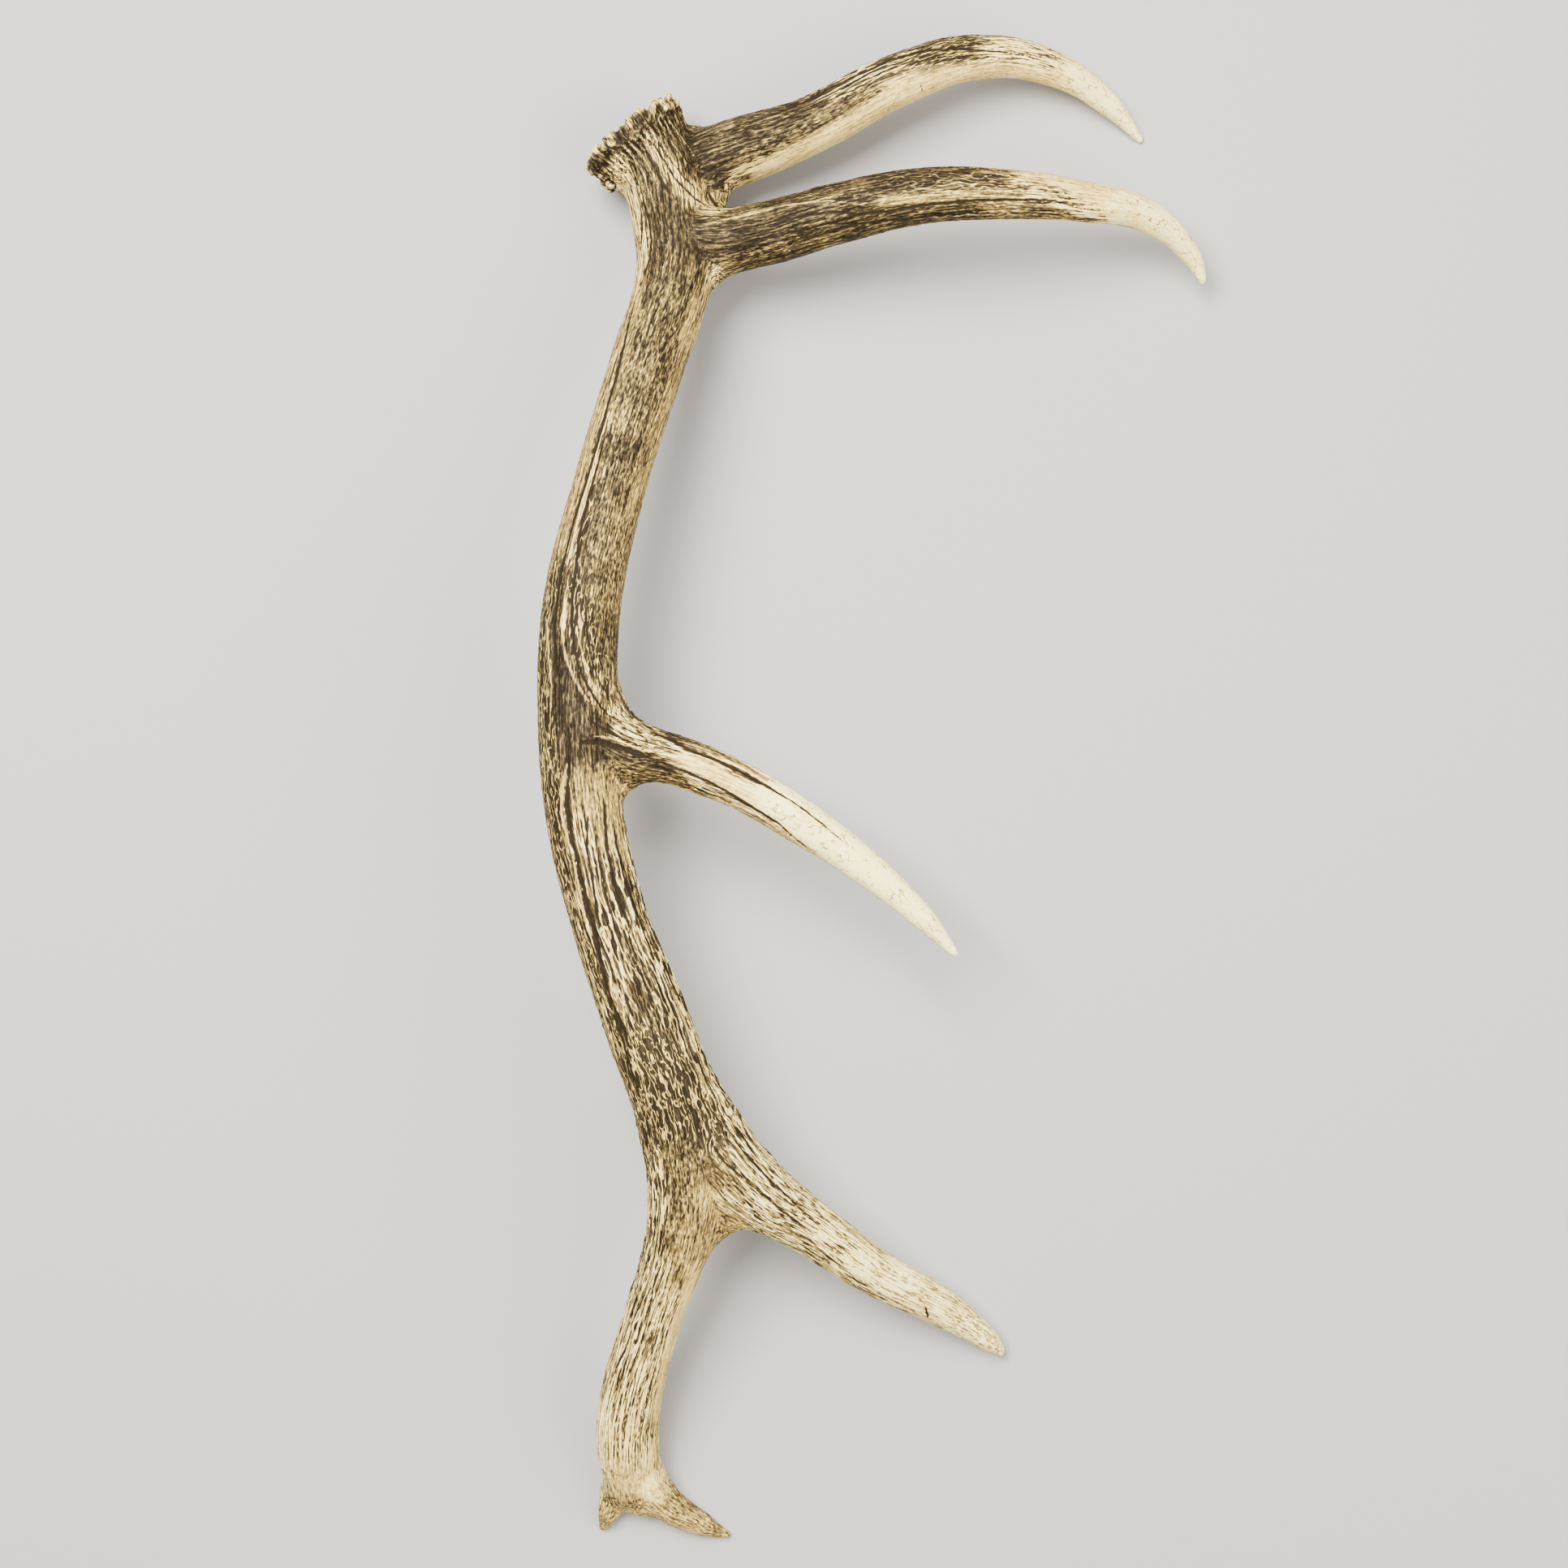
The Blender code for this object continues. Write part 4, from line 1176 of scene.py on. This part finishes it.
PARTINGS = (
    Parting((-136, 280, 74), (0.27, 0.94, -0.25), 42),
    Parting((-84, 397, 38), (0.93, 0.35, 0.10), 27),
    Parting((-68, 343, 62), (0.96, 0.16, 0.22), 30),
    Parting((-180, 68, 110), (0.03, 1.0, -0.03), 42),
    Parting((-124, 19, 112), (0.96, -0.28, 0.0), 26),
    Parting((-58, -250, 84), (0.78, -0.52, -0.34), 30),
    Parting((-129, -284, 80), (0.25, 0.92, 0.32), 36),
)

# How thick a slice of the skin is cut at a plane, to each side, in mm.
SLICE = 6

# Where the skin is smoothed most, and how far round.
FORKS = (
    (-96, 372, 40, 34), (-97, 316, 60, 42), (-148, 2, 111, 40), (-150, 52, 111, 32),
    (-84, -262, 84, 48), (-103, -284, 80, 34), (-148, -446, 14, 20), (-166, -420, 24, 22),
)


@dataclass
class Skin:
    """The antler's whole skin: fused from the limbs and the burr, and parted into pieces."""

    grid: float = 2.05
    softening: float = 0.5
    rounds: int = 2
    fork_rounds: int = 90
    web_sides: int = 32
    burr: Burr = field(default_factory=Burr)
    relief: Relief = field(default_factory=Relief)

    def build(self) -> list[Object]:
        """Model the antler.

        Returns:
            The pieces, in the order of the table of pieces.
        """
        skin = self.fuse()
        self.soften(skin)
        apply_modifier(skin, "SUBSURF", levels=1, render_levels=1)
        log.info("skin of %d corners", len(skin.data.vertices))
        self.relief.raise_on(skin, self.burr, Fibres(LIMBS))
        keep(skin.data, "skin_normal", read_vectors(skin.data.vertex_normals, "vector"))
        return self.part(skin)

    def fuse(self) -> Object:
        """Model the limbs, webs and burr, and fuse them into one closed skin."""
        parts = []
        for limb in LIMBS:
            parts += limb.build()
            log.info("%s drawn out", limb.name)
        for *middle, radius in WEBS:
            start_fresh()
            bpy.ops.mesh.primitive_uv_sphere_add(
                segments=self.web_sides, ring_count=self.web_sides // 2, radius=radius * MM,
                location=in_frame(middle))
            parts.append(bpy.context.object)
        parts += self.burr.build()
        skin = joined(parts, "antler_skin")
        apply_modifier(skin, "REMESH", mode="VOXEL", voxel_size=self.grid * MM)
        log.info("fused")
        return skin

    def soften(self, skin: Object) -> None:
        """Smooth the skin, and round out its forks."""
        places = read_vectors(skin.data.vertices, "co") / MM
        share = np.zeros(len(places))
        for *middle, radius in FORKS:
            centre = np.array(in_frame(middle)) / MM
            distance = np.linalg.norm(places - centre, axis=1) / radius
            share = np.maximum(share, 1 - distance ** 2)
        group = skin.vertex_groups.new(name="forks")
        for index in np.nonzero(share > 0)[0]:
            group.add([int(index)], float(share[index]), "REPLACE")
        apply_modifier(skin, "SMOOTH", factor=self.softening, iterations=self.fork_rounds,
                       vertex_group=group.name)
        apply_modifier(skin, "SMOOTH", factor=self.softening, iterations=self.rounds)

    def part(self, skin: Object) -> list[Object]:
        """Cut the skin at the planes, close the cuts and name the pieces.

        Args:
            skin: The finished skin, which ends as the pieces.

        Returns:
            The pieces, in the order of the table of pieces.
        """
        for parting in PARTINGS:
            self._cut(skin, parting)
        only(skin)
        bpy.ops.object.mode_set(mode="EDIT")
        bpy.ops.mesh.select_all(action="SELECT")
        bpy.ops.mesh.separate(type="LOOSE")
        bpy.ops.object.mode_set(mode="OBJECT")
        found = [thing for thing in bpy.context.selected_objects if thing.type == "MESH"]
        log.info("parted into %d", len(found))
        pieces = []
        for piece in PIECES:
            middle = in_frame(piece.middle)
            body = min(found, key=lambda thing: self._distance(thing, middle))
            body.name = body.data.name = f"{piece.node}_skin"
            self._close(body)
            pieces.append(body)
        return pieces

    @staticmethod
    def _distance(thing: Object, middle: Vector) -> float:
        """How far a piece's nearest corner is from a point."""
        places = read_vectors(thing.data.vertices, "co")
        return float(((places - np.array(middle)) ** 2).sum(1).min())

    @staticmethod
    def _cut(skin: Object, parting: Parting) -> None:
        """Cut the skin along one plane and open the cut.

        Args:
            skin: The skin.
            parting: The plane and how far from its point it cuts.
        """
        mesh = skin.data
        middle = in_frame(parting.point)
        offset = read_vectors(mesh.polygons, "center") - np.array(middle)
        near = np.linalg.norm(offset, axis=1) < parting.radius * MM
        near &= np.abs(offset @ np.array(Vector(parting.along).normalized())) < SLICE * MM
        only(skin)
        bpy.ops.object.mode_set(mode="EDIT")
        bpy.ops.mesh.select_mode(type="FACE")
        bpy.ops.mesh.select_all(action="DESELECT")
        bpy.ops.object.mode_set(mode="OBJECT")
        mesh.polygons.foreach_set("select", near)
        bpy.ops.object.mode_set(mode="EDIT")
        bpy.ops.mesh.bisect(plane_co=middle, plane_no=parting.along)
        bpy.ops.mesh.edge_split(type="EDGE")
        bpy.ops.object.mode_set(mode="OBJECT")

    @staticmethod
    def _close(body: Object) -> None:
        """Close a piece's cuts and give it the whole skin's normals."""
        only(body)
        mesh = body.data
        skin_faces = len(mesh.polygons)
        bpy.ops.object.mode_set(mode="EDIT")
        bpy.ops.mesh.select_mode(type="EDGE")
        bpy.ops.mesh.select_all(action="DESELECT")
        bpy.ops.mesh.select_non_manifold()
        bpy.ops.mesh.fill_holes(sides=0)
        bpy.ops.object.mode_set(mode="OBJECT")
        mesh.shade_smooth()
        normals = read_vectors(mesh.attributes["skin_normal"].data, "vector")
        corners = np.zeros(len(mesh.loops), np.int32)
        mesh.loops.foreach_get("vertex_index", corners)
        wanted = normals[corners]
        for face in mesh.polygons[skin_faces:]:
            face.use_smooth = False
            wanted[list(face.loop_indices)] = face.normal
        mesh.normals_split_custom_set(wanted.tolist())
        mesh.attributes.remove(mesh.attributes["skin_normal"])


# ---- finishes


def linear(colour: str) -> tuple[float, float, float, float]:
    """An sRGB hex colour as linear light.

    Args:
        colour: Six hex digits.

    Returns:
        Red, green, blue and a solid alpha.
    """
    values = [int(colour[start:start + 2], 16) / 255 for start in (0, 2, 4)]
    light = [v / 12.92 if v <= 0.04045 else ((v + 0.055) / 1.055) ** 2.4 for v in values]
    return (*light, 1.0)


@dataclass(frozen=True)
class Signal:
    """One output of a material's node; arithmetic with it adds the nodes that work it out."""

    node: Node
    output: str | int = 0

    def math(self, operation: str, other: object = 0.0) -> "Signal":
        """This value and another one, put through one operation."""
        return add_node(self.node.id_data, "Math", {"operation": operation}, {0: self, 1: other})

    def __add__(self, other: object) -> "Signal":
        """The sum of two values."""
        return self.math("ADD", other)

    def __sub__(self, other: object) -> "Signal":
        """The difference of two values."""
        return self.math("SUBTRACT", other)

    def __mul__(self, other: object) -> "Signal":
        """The product of two values."""
        return self.math("MULTIPLY", other)

    def step(self, low: float, high: float) -> "Signal":
        """A smooth step of the value, from 0 at low to 1 at high."""
        return add_node(self.node.id_data, "MapRange", {"interpolation_type": "SMOOTHSTEP"}, {
            "Value": self, "From Min": low, "From Max": high})

    def towards(self, other: object, share: "Signal") -> "Signal":
        """The value blended with another by that one's share."""
        return add_node(self.node.id_data, "Mix", {"data_type": "FLOAT"}, {
            0: share, 2: self, 3: other})


def add_node(tree: NodeTree, kind: str, settings: dict[str, object],
             inputs: dict[str | int, object], output: str | int = 0) -> Signal:
    """Add a node with its settings and links.

    Args:
        tree: The material's nodes.
        kind: The node's type, without its common prefix.
        settings: Its own settings.
        inputs: A value or another node's output for each named or numbered input.
        output: The output to hand back.

    Returns:
        That output.
    """
    node = tree.nodes.new(f"ShaderNode{kind}")
    for name, value in settings.items():
        setattr(node, name, value)
    for name, value in inputs.items():
        if isinstance(value, Signal):
            tree.links.new(value.node.outputs[value.output], node.inputs[name])
        else:
            node.inputs[name].default_value = value
    return Signal(node, output)


class Grain(NamedTuple):
    """Random streaks: their width and length in mm and how much finer variation they carry."""

    width: float
    length: float
    detail: float = 1.0


class Net(NamedTuple):
    """A net of ridges: its lines round a limb and their shifts, its cells, sway and gaps."""

    families: Sequence[tuple[int, float]]
    width: float
    length: float
    sway: float
    gap: float


@dataclass(frozen=True)
class AntlerFinish:
    """Bare antler, weathered and rubbed: dark sap and dirt, with painted shade, in the grooves;
    pale worn ridges.

    The eye sees a dull, slightly waxy bone: rough and brown where it is low, smooth and
    cream to white where it was rubbed on bark. A weight is how much tone a pattern adds, and
    an edge is where its smooth step starts and ends. The ramp's two end stops come first.
    """

    name: str
    ramp: Sequence[tuple[float, str]] = (
        (0.10, "110c02"), (1.0, "f6eaa2"), (0.30, "251c0d"), (0.42, "3a2f1d"),
        (0.54, "584827"), (0.68, "806e3e"), (0.83, "d8b562"), (0.93, "f2d77c"))
    gold: str = "8f7130"
    gold_weight: float = 0.55
    gold_edge: Pair = (0.35, 0.75)
    specular: float = 0.10
    roughness: Pair = (0.78, 0.46)
    bump: float = 0.45 * MM
    bump_strength: float = 0.8
    streak: Grain = Grain(1.05, 34.0)
    streak_edge: Pair = (0.36, 0.58)
    streak_weight: float = 0.42
    dash: Grain = Grain(0.8, 5.0)
    dash_edge: Pair = (0.60, 0.48)
    dash_weight: float = -0.44
    row_edge: Pair = (0.57, 0.46)
    mottle: Grain = Grain(1.1, 3.4, 2.0)
    mottle_weight: float = 1.6
    ragged: Grain = Grain(1.1, 5.0)
    ragged_weights: Pair = (2.2, 0.8)
    groove_edge: Pair = (-0.30, 0.30)
    groove_weight: float = 0.14
    fork_weight: float = 0.10
    net: Net = Net(((37, 0.0), (31, 37.0)), 5.0, 13.0, 3.6, 0.76)
    net_weight: float = 0.50
    long_net: Net = Net(((35, 70.0), (29, 110.0)), 6.0, 32.0, 3.2, 0.68)
    long_net_middle: float = 0.34
    long_net_weight: float = 0.62
    net_slope: float = 0.15
    net_raggedness: float = 0.7
    cut_edge: Pair = (-0.20, -0.70)
    cut_share: float = 0.85
    cut_tone: float = 0.17
    crest_edge: Pair = (0.25, 0.70)
    crest_share: float = 0.75
    crest_tone: float = 0.90
    scratch: Grain = Grain(5.0, 9.0, 3.0)
    scratch_edge: Pair = (0.050, 0.012)
    scratched_edge: Pair = (0.47, 0.57)
    scratch_weight: float = -0.32
    pore_weight: float = 2.2
    seal_tone: float = 0.50

    def build(self) -> Material:
        """Make the material.

        Returns:
            The material, which reads the skin's own attributes.
        """
        material = bpy.data.materials.new(self.name)
        material.use_nodes = True
        tree = material.node_tree
        tree.nodes.clear()
        value = {name: self._kept(tree, name) for name in (
            "tone", "groove", "grown", "drawn", "streak", "net", "dash", "mottle", "warmth",
            "polish", "seal", "on_tine")}
        on_tine = value["on_tine"]
        fork = (on_tine * -1.0 + 1.0) * on_tine * 4.0
        streaks, dashes, mottle, ragged = (
            self._grained(tree, grain, on_tine)
            for grain in (self.streak, self.dash, self.mottle, self.ragged))
        mottle, ragged = mottle - 0.5, ragged - 0.5
        net, long_net = (
            self._net(tree, net, ragged, on_tine) for net in (self.net, self.long_net))
        side = value["grown"] + ragged * self.ragged_weights[0]
        detail = (side.step(*self.groove_edge) - 0.5) * (
            value["groove"] * self.groove_weight + fork * self.fork_weight)
        detail += (long_net - self.long_net_middle) * (value["groove"] * self.long_net_weight)
        detail += (streaks.step(*self.streak_edge) - 0.5) * (value["streak"] * self.streak_weight)
        detail += net * (value["net"] * self.net_weight)
        detail += mottle * (value["mottle"] * self.mottle_weight)
        detail += dashes.step(*self.dash_edge) * streaks.step(*self.row_edge) * (
            value["dash"] * self.dash_weight)
        wavering = value["drawn"] + ragged * self.ragged_weights[1]
        tone = value["tone"] + detail
        tone = tone.towards(self.cut_tone, wavering.step(*self.cut_edge) * self.cut_share)
        tone = tone.towards(self.crest_tone, wavering.step(*self.crest_edge) * self.crest_share)
        tone += self._scratches(tree) * value["polish"] * self.scratch_weight
        tone = tone.towards(mottle * self.pore_weight + self.seal_tone, value["seal"])
        rough, worn = self.roughness
        shader = add_node(tree, "BsdfPrincipled", {}, {
            "Base Color": self._colour(tree, tone, value["warmth"]),
            "Roughness": add_node(tree, "MapRange", {}, {
                "Value": tone, "From Min": 0.0, "From Max": 1.0,
                "To Min": rough, "To Max": worn}),
            "Normal": add_node(tree, "Bump", {}, {
                "Strength": self.bump_strength, "Distance": self.bump, "Height": detail}),
            "Specular IOR Level": self.specular})
        add_node(tree, "OutputMaterial", {}, {"Surface": shader})
        return material

    @staticmethod
    def _kept(tree: NodeTree, name: str, output: str = "Fac") -> Signal:
        """What the skin keeps under a name."""
        return add_node(tree, "Attribute", {"attribute_name": name}, {}, output)

    def _along(self, tree: NodeTree, name: str, cell: Grain | Net) -> Signal:
        """A limb's straightened places, in cells, so that a pattern's unit is one cell."""
        return add_node(tree, "VectorMath", {"operation": "MULTIPLY"}, {
            0: self._kept(tree, name, "Vector"),
            1: (1 / cell.width, 1 / cell.width, 1 / cell.length)})

    def _grained(self, tree: NodeTree, grain: Grain, on_tine: Signal) -> Signal:
        """Random streaks that follow the limbs.

        Args:
            tree: The material's nodes.
            grain: The streaks' measures.
            on_tine: How far the surface belongs to a tine rather than to the beam.

        Returns:
            The pattern, about 0.5.
        """
        beam, tine = (add_node(tree, "TexNoise", {"noise_dimensions": "3D"}, {
            "Vector": self._along(tree, name, grain), "Scale": 1.0, "Detail": grain.detail,
            "Roughness": 0.55}, "Fac") for name in ("beam_grain", "tine_grain"))
        return beam.towards(tine, on_tine)

    def _net(self, tree: NodeTree, net: Net, ragged: Signal, on_tine: Signal) -> Signal:
        """A net of thin pale ridges round long cells, as old blood vessels leave it.

        Args:
            tree: The material's nodes.
            net: The net's measures.
            ragged: Makes its ridges uneven, about 0.
            on_tine: How far the surface belongs to a tine rather than to the beam.

        Returns:
            The pattern, 1 on the ridges and 0 in the cells.
        """
        patterns = []
        for name in ("beam_grain", "tine_grain"):
            across = add_node(tree, "SeparateXYZ", {}, {0: self._kept(tree, name, "Vector")})
            angle = Signal(across.node, 1).math("ARCTAN2", across)
            place = self._along(tree, name, net)
            lines = []
            for count, shift in net.families:
                apart = add_node(tree, "VectorMath", {"operation": "ADD"}, {
                    0: place, 1: (shift, shift, shift)})
                sway = add_node(tree, "TexNoise", {}, {
                    "Vector": apart, "Scale": 1.0, "Detail": 2.0}, "Fac")
                turns = angle * (count / math.tau) + sway * net.sway
                lines.append(((turns.math("FRACT") - 0.5) * 2.0).math("ABSOLUTE"))
            line = lines[0].math("MAXIMUM", lines[1]) + ragged * self.net_raggedness
            patterns.append(line.step(net.gap, net.gap + self.net_slope))
        return patterns[0].towards(patterns[1], on_tine)

    def _scratches(self, tree: NodeTree) -> Signal:
        """Sparse hairline scratches and cracks, 1 on them and 0 beside them."""
        place = self._along(tree, "tine_grain", self.scratch)
        sway = add_node(tree, "TexNoise", {}, {
            "Vector": place, "Scale": 1.5, "Detail": self.scratch.detail}, "Color")
        swayed = add_node(tree, "VectorMath", {"operation": "ADD"}, {0: place, 1: sway})
        edge = add_node(tree, "TexVoronoi", {"feature": "DISTANCE_TO_EDGE"}, {
            "Vector": swayed, "Scale": 1.0}, "Distance")
        where = add_node(tree, "TexNoise", {}, {
            "Vector": place, "Scale": 1.3, "Detail": 1.0}, "Fac")
        return edge.step(*self.scratch_edge) * where.step(*self.scratched_edge)

    def _colour(self, tree: NodeTree, tone: Signal, warmth: Signal) -> Signal:
        """The colour for a tone: from the dark grooves to the pale ridges, golden or grey."""
        ramp = add_node(tree, "ValToRGB", {}, {"Fac": tone})
        stops = ramp.node.color_ramp.elements
        for number, (position, colour) in enumerate(self.ramp):
            stop = stops[number] if number < 2 else stops.new(position)
            stop.position, stop.color = position, linear(colour)
        golden = warmth * tone.step(*self.gold_edge) * self.gold_weight
        return add_node(tree, "Mix", {"data_type": "RGBA"}, {
            0: golden, 6: ramp, 7: linear(self.gold)}, 2)


# ---- studio


class Lamp(NamedTuple):
    """A square soft light: its name, its place and side in metres and its power in watts."""

    name: str
    place: Point
    size: float
    power: float


@dataclass
class Studio:
    """A pale floor, soft light and a camera that looks straight down on the antler."""

    floor_size: float = 24.0
    floor_colour: str = "9c9994"
    floor_roughness: float = 0.9
    lamps: Sequence[Lamp] = (Lamp("key", (-0.8, 0.9, 2.5), 1.4, 345.0),
                             Lamp("fill", (1.8, -0.5, 2.0), 2.4, 130.0))
    sky: tuple[float, float, float, float] = (1.0, 0.98, 0.95, 1.0)
    sky_strength: float = 0.55
    field_height: float = 1750.0
    sensor: float = 36.0

    def build(self) -> None:
        """Make the floor, the lights and the camera."""
        self._floor()
        for lamp in self.lamps:
            self._light(lamp)
        world = bpy.data.worlds.new("studio")
        world.use_nodes = True
        background = world.node_tree.nodes["Background"]
        background.inputs["Color"].default_value = self.sky
        background.inputs["Strength"].default_value = self.sky_strength
        bpy.context.scene.world = world
        self._camera()

    def _floor(self) -> None:
        """Make the floor, of matt paper that only takes the antler's shadow."""
        start_fresh()
        bpy.ops.mesh.primitive_plane_add(size=self.floor_size)
        floor = bpy.context.object
        floor.name = "floor"
        paint = bpy.data.materials.new("matt paper")
        paint.use_nodes = True
        shader = paint.node_tree.nodes["Principled BSDF"]
        shader.inputs["Base Color"].default_value = linear(self.floor_colour)
        shader.inputs["Roughness"].default_value = self.floor_roughness
        floor.data.materials.append(paint)

    @staticmethod
    def _light(lamp: Lamp) -> None:
        """Make a light that points at the antler."""
        data = bpy.data.lights.new(lamp.name, "AREA")
        data.size = lamp.size
        data.energy = lamp.power
        light = bpy.data.objects.new(lamp.name, data)
        light.location = lamp.place
        light.rotation_euler = facing(lamp.place)
        bpy.context.scene.collection.objects.link(light)

    def _camera(self) -> None:
        """Make the camera at the photograph's place."""
        data = bpy.data.cameras.new("camera")
        data.sensor_width = self.sensor
        half_width = PHOTO_WIDTH / 2 * MM_PER_PIXEL
        data.lens = self.sensor / 2 * self.field_height / half_width
        camera = bpy.data.objects.new("camera", data)
        camera.location = Vector(EYE) * MM
        bpy.context.scene.collection.objects.link(camera)
        bpy.context.scene.camera = camera


def main() -> None:
    """Model the antler, dress it and set up the studio."""
    logging.basicConfig(level=logging.INFO, format="%(relativeCreated)d ms %(message)s")
    finishes = {slot: AntlerFinish(f"{slot} rubbed and weathered").build() for slot in (
        "brown_antler", "cream_antler", "white_antler")}
    bodies = Skin().build()
    for piece, body in zip(PIECES, bodies):
        body.data.materials.clear()
        body.data.materials.append(finishes[piece.slot])
        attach(body, "root")
        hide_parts(piece.node)
        log.info("%s: %d faces", body.name, len(body.data.polygons))
    Studio().build()


if __name__ == "__main__":
    main()
